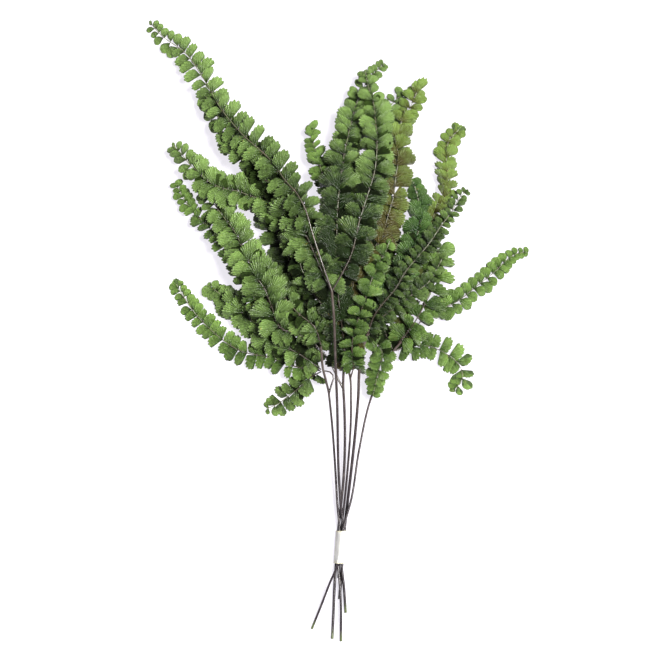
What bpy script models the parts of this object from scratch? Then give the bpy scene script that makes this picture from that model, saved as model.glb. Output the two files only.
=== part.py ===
"""A tied bunch of six maidenhair fern fronds, lying on a flat surface.

Each frond is a dark stalk that forks and carries long pinnae: a thin midrib set with fan-shaped
pinnules in pairs. A strip of paper tape holds the six stalks together near their cut ends.

The plan is in millimetres. +Y runs from the cut ends to the leaf tips, +X is to the right as
seen from above, +Z is up, and the surface under the bunch is Z = 0.
"""
from dataclasses import dataclass
from math import cos, pi, radians, sin

import bmesh
import bpy
from mathutils import Vector

MM = 0.001
GAP = 0.3                 # left between neighbours that touch
BLADE = 0.8               # thickness of a pinna
MIDRIB_HALF = 0.7         # half the width of a midrib between its pinnules
MIDRIB_START = 2.4        # from a route's start to the midrib's, clear of the stalk
MIDRIB_STEP = 10.0        # length of a straight piece of the bare midrib
TAPER = 0.66              # share of the pinnule length that is lost towards a pinna's tip
TAPER_CURVE = 4           # how late the loss sets in
FIRST_SIZE = 0.8          # size of the lowest pinnules, as a share of the longest
FIRST_SHARE = 0.15        # share of the leafy length over which they grow to full size
CLOSING = 0.6             # how far the pitch shrinks with the pinnules
LAST_PITCH = 0.7          # share of a pitch that the last pair needs
TIP_LENGTH = 0.4          # length of the tip, as a share of the last pinnules'
DROOP = radians(5)        # how far the pinnules hang below their midrib
LEAN = 0.22               # how far a pinnule leans towards the tip, in pitches
FAN_GAP = 0.12            # share of a pitch left clear on each side of a pinnule's outer edge
STALK_STEP = 9.0          # length of a straight piece of stalk
STALK_TAPER = 0.72        # radius at a stalk's upper end, as a share of the cut end's
BRANCH_START = 0.9        # radius at a branch's lower end, as a share of its stalk's there
BRANCH_TAPER = 0.5        # radius at a branch's upper end, as a share of the cut end's
TAPE_THICK = 0.3
TAPE_LOW = -186.0         # Y of the tape's lower edge
TAPE_WIDTH = 26.0
TAPE_BANDS = 4            # straight bands along the stalks
TAPE_SIDES = 20

CENTRE = (0.75, -1.35, 0) # moves the plan so that the origin is under the bunch's middle

LEAF_GREEN = (0.075, 0.16, 0.035)
FRESH_GREEN = (0.14, 0.27, 0.045)
OLIVE_GREEN = (0.14, 0.16, 0.045)
BLUE_GREEN = (0.045, 0.13, 0.05)
STALK_BROWN = (0.035, 0.022, 0.025)
TAPE_WHITE = (0.78, 0.78, 0.70)


class Route:
    """A smooth curve through a few points, read by the distance along it."""

    def __init__(self, points):
        self.points = [Vector(point) for point in points]
        steps = [(b - a).length for a, b in zip(self.points, self.points[1:])]
        self.marks = [sum(steps[:i]) for i in range(len(self.points))]
        self.length = self.marks[-1]
        slopes = [(b - a) / step for a, b, step in zip(self.points, self.points[1:], steps)]
        inner = [(slopes[i] * steps[i + 1] + slopes[i + 1] * steps[i]) / (steps[i] + steps[i + 1])
                 for i in range(len(slopes) - 1)]
        self.slopes = [slopes[0], *inner, slopes[-1]]

    def at(self, distance):
        """The point at a distance from the start; past an end the curve runs on straight."""
        if distance > self.length:
            return self.points[-1] + (distance - self.length) * self.slopes[-1]
        if distance < 0:
            return self.points[0] + distance * self.slopes[0]
        i = max(k for k in range(len(self.slopes) - 1) if self.marks[k] <= distance)
        span = self.marks[i + 1] - self.marks[i]
        t = (distance - self.marks[i]) / span
        return ((2 * t**3 - 3 * t**2 + 1) * self.points[i]
                + (t**3 - 2 * t**2 + t) * span * self.slopes[i]
                + (3 * t**2 - 2 * t**3) * self.points[i + 1]
                + (t**3 - t**2) * span * self.slopes[i + 1])

    def along(self, distance):
        """The direction of the curve at a distance from the start."""
        return (self.at(distance + 0.5) - self.at(distance - 0.5)).normalized()

    def crossing(self, y):
        """The point where the curve reaches a given Y."""
        low, high = 0.0, self.length
        for _ in range(40):
            middle = (low + high) / 2
            low, high = (middle, high) if self.at(middle).y < y else (low, middle)
        return self.at(low)


@dataclass
class Stalk:
    """A frond's stalk: its route from the cut end up, and the branches of its fork."""

    radius: float
    route: list
    branches: list


@dataclass
class Pinna:
    """A pinna: the length of its longest pinnules, their pitch, the bare base and its route."""

    reach: float
    pitch: float
    bare: float
    route: list
    colour: tuple = LEAF_GREEN


STALKS = {
    "a": Stalk(1.0, [(2.4, -249, 0.9), (2.4, -222, 3.9), (1.2, -200, 4.5), (0.0, -188, 4.4),
                     (1.2, -158, 4.4), (-0.6, -137, 5.2), (-1.6, -119, 6.2), (-6.4, -58, 12.3),
                     (-7.6, -48, 13.5), (-10, -38, 15.5), (-11.8, -31, 17.2), (-13.6, -12, 20.5)],
               [[(-7.3, -50, 13.2), (-5.4, -43, 12.6), (-3.6, -36, 12), (-6.5, -32.4, 11.4),
                 (-12.5, -31.6, 10.5)]]),
    "b": Stalk(1.1, [(6.2, -226, 1.0), (4.8, -205, 3.4), (3.0, -188, 4.6), (4.2, -158, 4.6),
                     (2.0, -137, 6.6), (0.8, -119, 8.6), (-0.8, -55, 20), (-2.4, -15, 29),
                     (-3.2, 9, 34), (-5, 32, 38)],
               []),
    "c": Stalk(1.15, [(-4.6, -247, 1.05), (-3.8, -231, 1.2), (-2.5, -200, 1.75), (-1.7, -188, 1.75),
                      (0.4, -158, 1.75), (1.7, -146, 1.75), (4.4, -119, 4.2), (4.8, -55, 12),
                      (4.2, -45, 13.6), (4.6, -22, 17), (3.4, -6, 19.2), (1.0, 10, 20.6)],
                [[(4.3, -46, 13.4), (0.6, -39, 13.8), (-8, -22, 14.6), (-20, -9, 15.2),
                  (-31, -3, 15.6)]]),
    "d": Stalk(0.95, [(0.4, -198, 1.55), (0.75, -188, 1.55), (2.85, -158, 1.55), (4.2, -146, 1.55),
                      (7.0, -119, 4.4), (10.4, -55, 14), (9.6, -36, 16), (7.0, -26, 18)],
                [[(9.7, -38, 15.8), (12.2, -30, 19.4)]]),
    "e": Stalk(1.25, [(1.2, -215, 1.3), (2.4, -200, 1.85), (3.25, -188, 1.85), (5.4, -158, 1.85),
                      (6.7, -146, 1.85), (9.8, -119, 5), (16, -55, 16), (17.8, -24, 20),
                      (20, -13, 21.4), (22.8, -4, 22.4)],
                []),
    "f": Stalk(0.95, [(-21, -239, 0.85), (-13, -219, 2.6), (-6.2, -201, 5.2), (-0.6, -188, 6.6),
                      (4.2, -158, 6.6), (10.4, -136, 6.2), (17, -95, 6.6), (27, -52, 8),
                      (39, -25, 9), (44.5, -15.5, 9.6), (51, -8, 10)],
                []),
}

PINNAE = {
    "a_pinna_low": Pinna(11, 8.5, 8, [
        (-13.2, -32, 10.2), (-24, -38, 8), (-31, -45, 6), (-40, -52, 3.8), (-48, -58, 2.1),
        (-57, -62, 1.3)]),
    "a_pinna_left": Pinna(10.5, 8.2, 12, [
        (-14, -31.4, 10.4), (-28, -29.5, 8.6), (-38, -27, 7.6), (-54, -21, 6.4), (-77, -16, 5),
        (-85, -12, 4.4), (-96, -4, 3.4), (-106, 5, 2.6), (-116, 16, 2), (-124, 28, 1.4),
        (-130, 38, 0.9)], FRESH_GREEN),
    "a_pinna_upper": Pinna(10.5, 8.5, 12, [
        (-13.4, -30.6, 11), (-28, -20, 11.4), (-40, -13, 11.6), (-53, -4, 11.4), (-62, 4, 11),
        (-73, 12, 10), (-81, 19, 9), (-92, 28, 7), (-104, 37, 5)]),
    "a_pinna_main": Pinna(13, 10, 8, [
        (-13.7, -10.6, 20.8), (-19, 4, 23.4), (-30, 13, 22.6), (-41, 25, 19.5), (-48, 37, 15.6),
        (-55, 51, 12.5)]),
    "b_pinna_left": Pinna(14.5, 11, 10, [
        (-5, 32, 38), (-14, 58, 41), (-21, 80, 41), (-26, 97, 39.5), (-33, 110, 38),
        (-42, 120, 36), (-50, 132, 33.5), (-77, 158, 25.5), (-92, 176, 19.5), (-108, 203, 11.5),
        (-122, 223, 7), (-142, 238, 2.6), (-151, 248, 1.2)]),
    "b_pinna_right": Pinna(13.5, 9.5, 6, [
        (-5, 32, 38), (2, 44, 37.8), (10, 60, 37.5), (17, 88, 36.8), (22, 104, 35.5),
        (31, 130, 31.5), (33, 152, 27.5), (32, 167, 24), (30, 184, 19), (25, 197, 15.5),
        (22, 208, 13)]),
    "b_pinna_under": Pinna(11.5, 9, 62, [
        (-5.4, 31, 35.6), (-16, 55, 34), (-28, 82, 31), (-42, 104, 27.5), (-58, 122, 25.5),
        (-74, 143, 20), (-88, 160, 14.5), (-101, 180, 8.5), (-107, 190, 6.5)]),
    "c_pinna_top": Pinna(11.5, 8.5, 34, [
        (0.6, 12, 20), (-14, 52, 20), (-30, 73, 21), (-45, 91, 21.5), (-58, 104, 21.8),
        (-69, 108, 21.8), (-80, 112, 21.5), (-94, 115, 20.5), (-105, 121, 18), (-112, 128, 15.5),
        (-119, 134, 13), (-125, 142, 11), (-132, 149, 9.5)]),
    "c_pinna_outer": Pinna(10, 8, 26, [
        (-32.4, -3.4, 14.6), (-48, 4, 15.5), (-61, 17, 17.6), (-72, 37, 19), (-82, 56, 17),
        (-95, 75, 13), (-106, 86, 10), (-114, 94, 8), (-123, 105, 6), (-130, 119, 4.5)],
        FRESH_GREEN),
    "c_pinna_inner": Pinna(12.5, 9, 28, [
        (-32.6, -2.2, 16.2), (-46, 3, 20), (-53, 20, 25), (-58, 33, 27.5), (-65, 44, 28),
        (-73, 60, 26), (-84, 82, 20), (-92, 92, 16.5), (-102, 105, 12.5), (-111, 112, 9.5)]),
    "c_pinna_shaded": Pinna(14, 11, 26, [
        (-20, -8.6, 13.6), (-22, 8, 11), (-24, 25, 10.5), (-31, 45, 10.5), (-36, 61, 11),
        (-40, 77, 11.5), (-47, 92, 11), (-54, 104, 9)]),
    "c_pinna_middle": Pinna(13, 10.5, 26, [
        (0.6, 10.6, 22), (-9, 18, 24), (-18, 28, 26.5), (-27, 45, 28), (-34, 67, 28),
        (-38, 85, 26.5), (-40, 98, 25)]),
    "c_pinna_upper": Pinna(8.5, 7, 40, [
        (1.2, 12, 21), (3, 30, 21.5), (6, 50, 22), (6, 73, 22.5), (2, 93, 22.5), (-6, 111, 20.5),
        (-13, 128, 17.5), (-17, 141, 14.5), (-20, 152, 11.5), (-21, 164, 9)], FRESH_GREEN),
    "c_pinna_inside": Pinna(11, 9, 20, [
        (2.8, -6, 17.4), (-3, 8, 15.5), (-8, 25, 15), (-12, 45, 15), (-14, 65, 14.5),
        (-15, 80, 14)]),
    "d_pinna_middle": Pinna(12, 8, 8, [
        (12.6, -28.8, 19.8), (11.4, -20, 24.5), (11, -12, 27), (14, 4, 31), (17, 13, 32.5),
        (21, 24, 33), (27, 42, 33), (31, 52, 32), (37, 62, 30.5), (41, 72, 28.5)], FRESH_GREEN),
    "d_pinna_bronze": Pinna(10.5, 8, 52, [
        (8.4, -24.4, 18.6), (10, 0, 22.2), (10, 25, 25), (20, 60, 27), (33, 72, 27), (40, 93, 26.5),
        (45, 111, 25), (46, 123, 23.5), (48, 136, 21.5), (47, 153, 18), (50, 166, 15),
        (58, 180, 11.5), (65, 196, 9)], OLIVE_GREEN),
    "d_pinna_top": Pinna(12.5, 9, 72, [
        (6.2, -24.6, 19), (3.6, 0, 24.4), (-0.4, 25, 28.5), (-3, 48, 30.5), (-4, 81, 32),
        (-3, 109, 31), (-2, 136, 26), (3, 154, 21.5), (10, 172, 16), (16, 188, 10.5),
        (26, 204, 5), (37, 215, 1.3)]),
    "e_pinna_right": Pinna(11.5, 6.4, 14, [
        (22.8, -4, 22.6), (29, 13, 24), (37, 24, 25), (45, 33, 25), (54, 48, 24), (65, 61, 22.5),
        (74, 72, 20.5), (82, 84, 18), (91, 96, 15.5), (98, 108, 13), (103, 113, 12)]),
    "e_pinna_fine": Pinna(9, 6, 24, [
        (24, -3.2, 21.4), (36, 12, 21.4), (51, 23, 21), (61, 31, 20.5), (72, 39, 19.5),
        (79, 50, 17.5), (84, 60, 16)]),
    "e_pinna_blue": Pinna(9, 7, 40, [
        (23.4, -2.6, 20.4), (33, 20, 17), (45, 38, 15.5), (53, 49, 15), (59, 65, 15), (64, 79, 14.5),
        (66, 93, 14), (64, 107, 13), (60, 121, 12)], BLUE_GREEN),
    "e_pinna_hidden": Pinna(8, 7.5, 40, [
        (22.4, -2.4, 19.8), (25, 20, 18.5), (26, 45, 18), (28, 70, 17.5), (31, 100, 16.5),
        (36, 125, 14), (38, 145, 12), (40, 163, 9.5), (43, 182, 7), (50, 189, 6)]),
    "e_pinna_hanging": Pinna(8, 6.2, 12, [
        (22.4, -9.6, 19.4), (30, -9, 18.5), (35, -16, 17.3), (33.5, -28, 15.5), (31, -38, 14),
        (29, -47, 12.5), (28, -51, 12)], FRESH_GREEN),
    "f_pinna_tall": Pinna(12, 7.8, 38, [
        (51.2, -6.4, 8.4), (54, 18, 7.2), (59, 45, 7.4), (64, 65, 8.4), (71, 80, 9.4), (78, 96, 9.8),
        (86, 113, 9.4), (86, 123, 8.5), (87, 136, 6.5), (89, 153, 3.4), (97, 162, 1.2)], OLIVE_GREEN),
    "f_pinna_edge": Pinna(13.5, 9.5, 12, [
        (48.6, -9, 11), (56, 0, 12.6), (63, 10, 13.6), (69, 21, 13.8), (74, 32, 13.2), (77, 41, 12.4),
        (79, 52, 12.4), (80, 64, 13), (81, 74, 13)], FRESH_GREEN),
    "f_pinna_right": Pinna(8.8, 7.5, 20, [
        (52.4, -8.4, 9.6), (60, -1, 8.6), (67, 9, 8), (77, 17, 7.4), (90, 21, 6.8), (97, 25, 6),
        (106, 32, 5), (116, 40, 4), (126, 48, 2.6), (134, 56, 1.8), (142, 62, 1.2), (152, 64, 0.8)],
        FRESH_GREEN),
    "f_pinna_drooping": Pinna(10.5, 8, 10, [
        (45.8, -15.4, 8.8), (55, -12.4, 7), (66, -11, 5.6), (77, -13, 4.6), (87, -18, 3.6),
        (94, -23, 2.6), (99, -30, 1.8), (100, -37, 1.4), (97, -43, 1.1), (92, -48, 0.9)],
        FRESH_GREEN),
    "f_pinna_hidden": Pinna(11, 9, 22, [
        (43.6, -14, 7.6), (36, 5, 5), (34, 25, 4.6), (36, 45, 4.6), (40, 65, 3.6),
        (46, 85, 1.6)]),
}


def clear_scene():
    """Start from an empty scene."""
    for obj in list(bpy.data.objects):
        bpy.data.objects.remove(obj, do_unlink=True)


def new_collection(name):
    """A collection in the scene."""
    collection = bpy.data.collections.new(name)
    bpy.context.scene.collection.children.link(collection)
    return collection


def plain_material(name, colour, roughness):
    """A Principled material."""
    material = bpy.data.materials.new(name)
    material.use_nodes = True
    shader = material.node_tree.nodes["Principled BSDF"]
    shader.inputs["Base Color"].default_value = (*colour, 1)
    shader.inputs["Roughness"].default_value = roughness
    return material


def add_object(name, data, collection, material=None):
    """An object in a collection, with its own material."""
    obj = bpy.data.objects.new(name, data)
    collection.objects.link(obj)
    if material:
        data.materials.append(material)
    return obj


def tube(name, route, radii, collection):
    """A tapered round tube along a route, as a closed mesh."""
    count = max(3, round(route.length / STALK_STEP))
    curve = bpy.data.curves.new(name, "CURVE")
    curve.dimensions = "3D"
    curve.bevel_depth = MM
    curve.bevel_resolution = 1
    curve.use_fill_caps = True
    spline = curve.splines.new("POLY")
    spline.points.add(count)
    for i, point in enumerate(spline.points):
        share = i / count
        point.co = (*(route.at(share * route.length) * MM), 1)
        point.radius = radii[0] + (radii[1] - radii[0]) * share
    guide = add_object(name + "_curve", curve, collection)
    mesh = bpy.data.meshes.new_from_object(guide.evaluated_get(bpy.context.evaluated_depsgraph_get()))
    weld = bmesh.new()
    weld.from_mesh(mesh)
    bmesh.ops.remove_doubles(weld, verts=weld.verts, dist=0.00001)
    weld.to_mesh(mesh)
    weld.free()
    bpy.data.objects.remove(guide)
    return mesh


def add_stalk(letter, stalk, parts, cutters):
    """A frond's stalk, with the branches of its fork joined to it."""
    name = f"frond_{letter}_stalk"
    top = stalk.radius * STALK_TAPER
    mesh = tube(name, Route(stalk.route), (stalk.radius, top), parts)
    obj = add_object(name, mesh, parts, plain_material(name, STALK_BROWN, 0.45))
    for number, branch in enumerate(stalk.branches, 1):
        branch_name = f"{name}_branch_{number}"
        radii = (top * BRANCH_START, stalk.radius * BRANCH_TAPER)
        cutter = add_object(branch_name, tube(branch_name, Route(branch), radii, cutters), cutters)
        cutter.hide_render = True
        cutter.display_type = "WIRE"
        union = obj.modifiers.new(branch_name, "BOOLEAN")
        union.operation = "UNION"
        union.object = cutter
    mesh.shade_smooth()


def pinnule_marks(pinna, length):
    """Where the pinnule pairs begin along a midrib, with the length of each pair."""
    marks = []
    start = pinna.bare
    leafy = length - pinna.bare
    while True:
        share = (start - pinna.bare) / leafy
        grown = FIRST_SIZE + (1 - FIRST_SIZE) * min(1, share / FIRST_SHARE)
        size = (1 - TAPER * share**TAPER_CURVE) * grown
        pitch = pinna.pitch * (1 - CLOSING + CLOSING * size)
        if start + LAST_PITCH * pitch > length:
            return marks
        marks.append((start, min(start + pitch, length), pinna.reach * size))
        start += pitch


def add_pinna(name, pinna, parts):
    """A pinna: a midrib strip with a fan-shaped lobe on each side for every pinnule pair."""
    route = Route(pinna.route)
    pairs = pinnule_marks(pinna, route.length)
    shape = bmesh.new()

    def row(distance, half):
        """Two vertices across the midrib."""
        along = route.along(distance)
        side = along.cross((0, 0, 1)).normalized()
        return [shape.verts.new((route.at(distance) + side * half * hand) * MM) for hand in (-1, 1)]

    def fan(low, high, start, end, reach, hand):
        """A lobe on one side, between two rows of the midrib."""
        pitch = end - start
        corners = []
        for share in (1 - FAN_GAP, FAN_GAP):
            distance = start + pitch * (share + LEAN)
            along = route.along(distance)
            side = along.cross((0, 0, 1)).normalized()
            normal = side.cross(along)
            out = side * hand * cos(DROOP) - normal * sin(DROOP)
            corners.append(shape.verts.new((route.at(distance) + out * reach) * MM))
        ring = [low, high, *corners]
        shape.faces.new(ring if hand > 0 else ring[::-1])

    bare_length = pinna.bare - MIDRIB_START
    bare_steps = max(1, round(bare_length / MIDRIB_STEP))
    rows = [row(MIDRIB_START + bare_length * i / bare_steps, MIDRIB_HALF)
            for i in range(bare_steps + 1)]
    for low, high in zip(rows, rows[1:]):
        shape.faces.new((low[0], low[1], high[1], high[0]))
    last = rows[-1]
    for start, end, reach in pairs:
        head = row(end, MIDRIB_HALF)
        shape.faces.new((last[0], last[1], head[1], head[0]))
        fan(last[1], head[1], start, end, reach, 1)
        fan(last[0], head[0], start, end, reach, -1)
        last = head
    tip_length = pairs[-1][2] * TIP_LENGTH
    tip = shape.verts.new((route.at(route.length) + route.along(route.length) * tip_length) * MM)
    shape.faces.new((last[0], last[1], tip))
    bmesh.ops.recalc_face_normals(shape, faces=shape.faces)
    mesh = bpy.data.meshes.new(name)
    shape.to_mesh(mesh)
    shape.free()
    obj = add_object(name, mesh, parts, plain_material(name, pinna.colour, 0.5))
    solid = obj.modifiers.new("blade", "SOLIDIFY")
    solid.thickness = BLADE * MM
    solid.offset = 0


def wrap(circles, clearance, sides):
    """The taut outline round circles (x, z, radius), as points seen along Y."""
    outline = []
    for i in range(sides):
        angle = 2 * pi * i / sides
        x, z, radius = max(circles, key=lambda c: c[0] * cos(angle) + c[1] * sin(angle) + c[2])
        reach = radius + clearance
        outline.append((x + reach * cos(angle), z + reach * sin(angle)))
    return outline


def add_tape(parts):
    """The tape: a taut band round the six stalks."""
    shape = bmesh.new()
    rings = []
    for band in range(TAPE_BANDS + 1):
        y = TAPE_LOW + TAPE_WIDTH * band / TAPE_BANDS
        circles = []
        for stalk in STALKS.values():
            centre = Route(stalk.route).crossing(y)
            circles.append((centre.x, centre.z, stalk.radius))
        rings.append([shape.verts.new((x * MM, y * MM, z * MM))
                      for x, z in wrap(circles, GAP, TAPE_SIDES)])
    for low, high in zip(rings, rings[1:]):
        for i in range(TAPE_SIDES):
            j = (i + 1) % TAPE_SIDES
            shape.faces.new((low[i], low[j], high[j], high[i]))
    bmesh.ops.recalc_face_normals(shape, faces=shape.faces)
    mesh = bpy.data.meshes.new("binding_tape")
    shape.to_mesh(mesh)
    shape.free()
    obj = add_object("binding_tape", mesh, parts, plain_material("binding_tape", TAPE_WHITE, 0.7))
    solid = obj.modifiers.new("paper", "SOLIDIFY")
    solid.thickness = TAPE_THICK * MM
    solid.offset = 1


def hang_on_centre(parts):
    """Parent every object to one empty, which places the whole bunch."""
    centre = add_object("bunch_centre", None, parts)
    centre.location = Vector(CENTRE) * MM
    for obj in bpy.data.objects:
        if obj != centre:
            obj.parent = centre


def main():
    """Build the bunch."""
    clear_scene()
    parts = new_collection("fern_bunch")
    cutters = new_collection("fern_bunch_branches")
    for letter, stalk in STALKS.items():
        add_stalk(letter, stalk, parts, cutters)
    for name, pinna in PINNAE.items():
        add_pinna("frond_" + name, pinna, parts)
    add_tape(parts)
    hang_on_centre(parts)


main()
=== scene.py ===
"""A tied bunch of six maidenhair fern fronds, lying on a pale table and seen from above.

Every frond is a dark stalk that forks and carries pinnae. A pinna is a thin midrib with fan-shaped
pinnules in two rows. A strip of paper tape binds the stalks near their cut ends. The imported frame
gives the place of each piece; the plan below is in millimetres, with +Y towards the leaf tips.
"""

import logging
import math
import random
from dataclasses import dataclass, field
from enum import Enum
from typing import Any, Iterable, Optional, Sequence, Union

import bmesh
import bpy
import numpy as np
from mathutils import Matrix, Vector


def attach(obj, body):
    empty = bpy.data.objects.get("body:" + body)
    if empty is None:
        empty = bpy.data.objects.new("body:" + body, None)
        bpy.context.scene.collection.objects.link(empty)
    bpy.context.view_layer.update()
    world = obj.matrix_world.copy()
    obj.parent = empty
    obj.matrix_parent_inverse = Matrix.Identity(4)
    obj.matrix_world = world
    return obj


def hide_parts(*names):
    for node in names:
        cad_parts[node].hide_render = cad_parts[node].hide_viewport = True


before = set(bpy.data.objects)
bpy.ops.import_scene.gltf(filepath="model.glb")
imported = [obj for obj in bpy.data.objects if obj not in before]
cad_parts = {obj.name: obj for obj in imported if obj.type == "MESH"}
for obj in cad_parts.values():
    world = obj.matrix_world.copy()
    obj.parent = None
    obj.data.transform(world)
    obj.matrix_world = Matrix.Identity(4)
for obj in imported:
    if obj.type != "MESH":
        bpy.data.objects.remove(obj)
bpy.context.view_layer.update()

MM = 0.001
CENTRE = Vector((0.75, -1.35, 0.0))   # from the plan's zero to the frame's origin
BODY = "root"
LOG = logging.getLogger("fern_bunch")

Colour = tuple[float, float, float]
Point = tuple[float, float, float]


# --------------------------------------------------------------------------------------------
# Node graphs
# --------------------------------------------------------------------------------------------


class Wire:
    """An output socket of a node graph that takes part in Python arithmetic."""

    def __init__(self, graph: "Graph", socket: bpy.types.NodeSocket) -> None:
        """Hold a socket and the graph that it is in."""
        self.graph = graph
        self.socket = socket

    def _with(self, operation: str, *values: Any) -> "Wire":
        """Feed values to a Math node and return its result."""
        return self.graph.node("ShaderNodeMath", dict(enumerate(values)), operation=operation)

    def __add__(self, other: Any) -> "Wire":
        """self + other."""
        return self._with("ADD", self, other)

    def __radd__(self, other: Any) -> "Wire":
        """other + self."""
        return self._with("ADD", other, self)

    def __sub__(self, other: Any) -> "Wire":
        """self - other."""
        return self._with("SUBTRACT", self, other)

    def __rsub__(self, other: Any) -> "Wire":
        """other - self."""
        return self._with("SUBTRACT", other, self)

    def __mul__(self, other: Any) -> "Wire":
        """self * other."""
        return self._with("MULTIPLY", self, other)

    def __pow__(self, other: Any) -> "Wire":
        """self ** other."""
        return self._with("POWER", self, other)

    def __mod__(self, other: Any) -> "Wire":
        """Fold self back and forth between 0 and other."""
        return self._with("PINGPONG", self, other)

    def clipped(self) -> "Wire":
        """The value kept between 0 and 1."""
        return self.graph.node("ShaderNodeClamp", {0: self})

    def step(self, low: float, high: float) -> "Wire":
        """Go smoothly from 0, at or below low, to 1, at or above high."""
        return self.graph.node("ShaderNodeMapRange", {0: self, 1: low, 2: high},
                               interpolation_type="SMOOTHSTEP")


class Graph:
    """A node tree, of a material, a world or a Geometry Nodes group."""

    def __init__(self, tree: bpy.types.NodeTree) -> None:
        """Start from an empty tree."""
        self.tree = tree
        tree.nodes.clear()

    def node(self, kind: str, inputs: Optional[dict] = None, out: Union[int, str] = 0,
             **settings: Any) -> Wire:
        """Add a node.

        Args:
            kind: the node's type.
            inputs: a value or a Wire for each socket, by name or number.
            out: the output to return.
            settings: the node's properties, set before its sockets.

        Returns:
            The chosen output.
        """
        made = self.tree.nodes.new(kind)
        for name, value in settings.items():
            setattr(made, name, value)
        for key, value in (inputs or {}).items():
            self.feed(made.inputs[key], value)
        outputs = [socket for socket in made.outputs if socket.enabled]
        if isinstance(out, str):
            return Wire(self, made.outputs[out])
        return Wire(self, outputs[out]) if outputs else Wire(self, None)

    def feed(self, socket: bpy.types.NodeSocket, value: Any) -> None:
        """Link a Wire to a socket, or set the socket's own value.

        Args:
            socket: the input to feed.
            value: a Wire, several Wires, or a plain value. A colour may leave out its alpha.
        """
        if isinstance(value, (list, tuple)) and value and isinstance(value[0], Wire):
            for wire in value:
                self.tree.links.new(wire.socket, socket)
        elif isinstance(value, Wire):
            self.tree.links.new(value.socket, socket)
        elif socket.type == "RGBA" and len(value) == 3:
            socket.default_value = (*value, 1)
        else:
            socket.default_value = value

    def mix(self, share: Any, low: Any, high: Any) -> Wire:
        """A colour between low and high."""
        return self.node("ShaderNodeMix", {0: share, 6: low, 7: high}, data_type="RGBA")


def shader_graph(name: str) -> tuple[bpy.types.Material, Graph]:
    """Start a material.

    Args:
        name: the material's name.

    Returns:
        The material and the graph of its nodes.
    """
    material = bpy.data.materials.new(name)
    material.use_nodes = True
    return material, Graph(material.node_tree)


# --------------------------------------------------------------------------------------------
# Finishes
# --------------------------------------------------------------------------------------------


@dataclass(frozen=True)
class LeafFinish:
    """A pinnule's surface: satin green with forked veins, a duller underside, odd specks and
    painted shade at its foot and sides.
    """

    name: str
    deep: Colour
    fresh: Colour
    vein: Colour = (0.27, 0.33, 0.18)
    under: Colour = (0.045, 0.075, 0.025)
    spore: Colour = (0.020, 0.016, 0.008)
    speck: Colour = (0.26, 0.17, 0.035)
    specks: float = 0.35
    roughness: float = 0.29
    sheen: float = 0.32
    glow: float = 0.04

    MOTTLE, PATCH, GRAIN = 170.0, 420.0, 1500.0   # scales of the noise, from coarse to fine
    VEINS, FORKS, SPOTS = 6.0, 13.0, 9.0          # how many cross a pinnule

    def build(self) -> bpy.types.Material:
        """Make the material.

        Returns:
            The material, with its node graph.
        """
        material, graph = shader_graph(self.name)
        node = graph.node
        place = node("ShaderNodeTexCoord", out="Object")
        chart = node("ShaderNodeUVMap", uv_map="fan")
        across = node("ShaderNodeSeparateXYZ", {0: chart}, out="X")
        along = node("ShaderNodeSeparateXYZ", {0: chart}, out="Y")
        youth = node("ShaderNodeAttribute", out="Fac", attribute_name="youth")
        tone = node("ShaderNodeAttribute", out="Fac", attribute_name="tone")
        below = node("ShaderNodeAttribute", out="Fac", attribute_name="below")
        mottle = node("ShaderNodeTexNoise", {"Vector": place, "Scale": self.MOTTLE, "Detail": 3.0})
        grain = node("ShaderNodeTexNoise", {"Vector": place, "Scale": self.GRAIN, "Detail": 2.0})
        patch = node("ShaderNodeTexNoise", {"Vector": place, "Scale": self.PATCH, "Detail": 2.0})

        coarse = (1 - ((across * self.VEINS) % 0.5) * 2) ** 3.0
        fine = (1 - ((across * self.FORKS) % 0.5) * 2) ** 2.0
        outer = along.step(0.30, 0.55)
        veins = coarse * (1 - outer) + fine * outer
        margin = along.step(0.86, 0.99)
        spots = margin * ((across * self.SPOTS) % 0.5 * 2 + grain * 0.5).step(0.55, 0.95)
        # Painted shade: darker towards the foot, by the midrib, and along the sides, where
        # neighbouring pinnules overlap.
        foot = 1 - along.step(0.05, 0.70)
        side = 1 - across.step(0.0, 0.16) * (1 - across.step(0.86, 1.0))

        age = (youth + (tone - 0.5) * 0.5 + (mottle - 0.5) * 0.5 + (patch - 0.5) * 0.7
               + along * 0.40 - 0.08).clipped()
        colour = graph.mix(age, self.deep, self.fresh)
        colour = graph.mix(veins * (age * 0.22 + 0.06), colour, self.vein)
        # painted shade at the foot and along the sides
        colour = graph.mix(foot * 0.85, colour, self.deep)
        colour = graph.mix(side * 0.55, colour, self.deep)
        colour = graph.mix(margin * 0.30, colour, self.vein)
        colour = graph.mix(spots * 0.75, colour, self.spore)
        blotch = patch.step(0.66, 0.74) * tone.step(0.45, 0.9) * self.specks
        colour = graph.mix(blotch, colour, self.speck)
        colour = graph.mix(below * 0.8, colour, self.under)

        relief = veins * 0.8 + grain * 0.4 + patch * 1.2 + mottle * 0.4
        bump = node("ShaderNodeBump", {"Strength": 0.9, "Distance": 0.0012, "Height": relief})
        shine = self.roughness + (grain - 0.5) * 0.3 + (patch - 0.5) * 0.2 + below * 0.2
        surface = node("ShaderNodeBsdfPrincipled", {
            "Base Color": colour, "Roughness": shine, "Normal": bump, "IOR": 1.45,
            "Specular IOR Level": self.sheen})
        through = node("ShaderNodeBsdfTranslucent", {"Color": graph.mix(0.35, colour, self.fresh)})
        both = node("ShaderNodeMixShader", {0: self.glow, 1: surface, 2: through})
        node("ShaderNodeOutputMaterial", {0: both})
        return material


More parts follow.
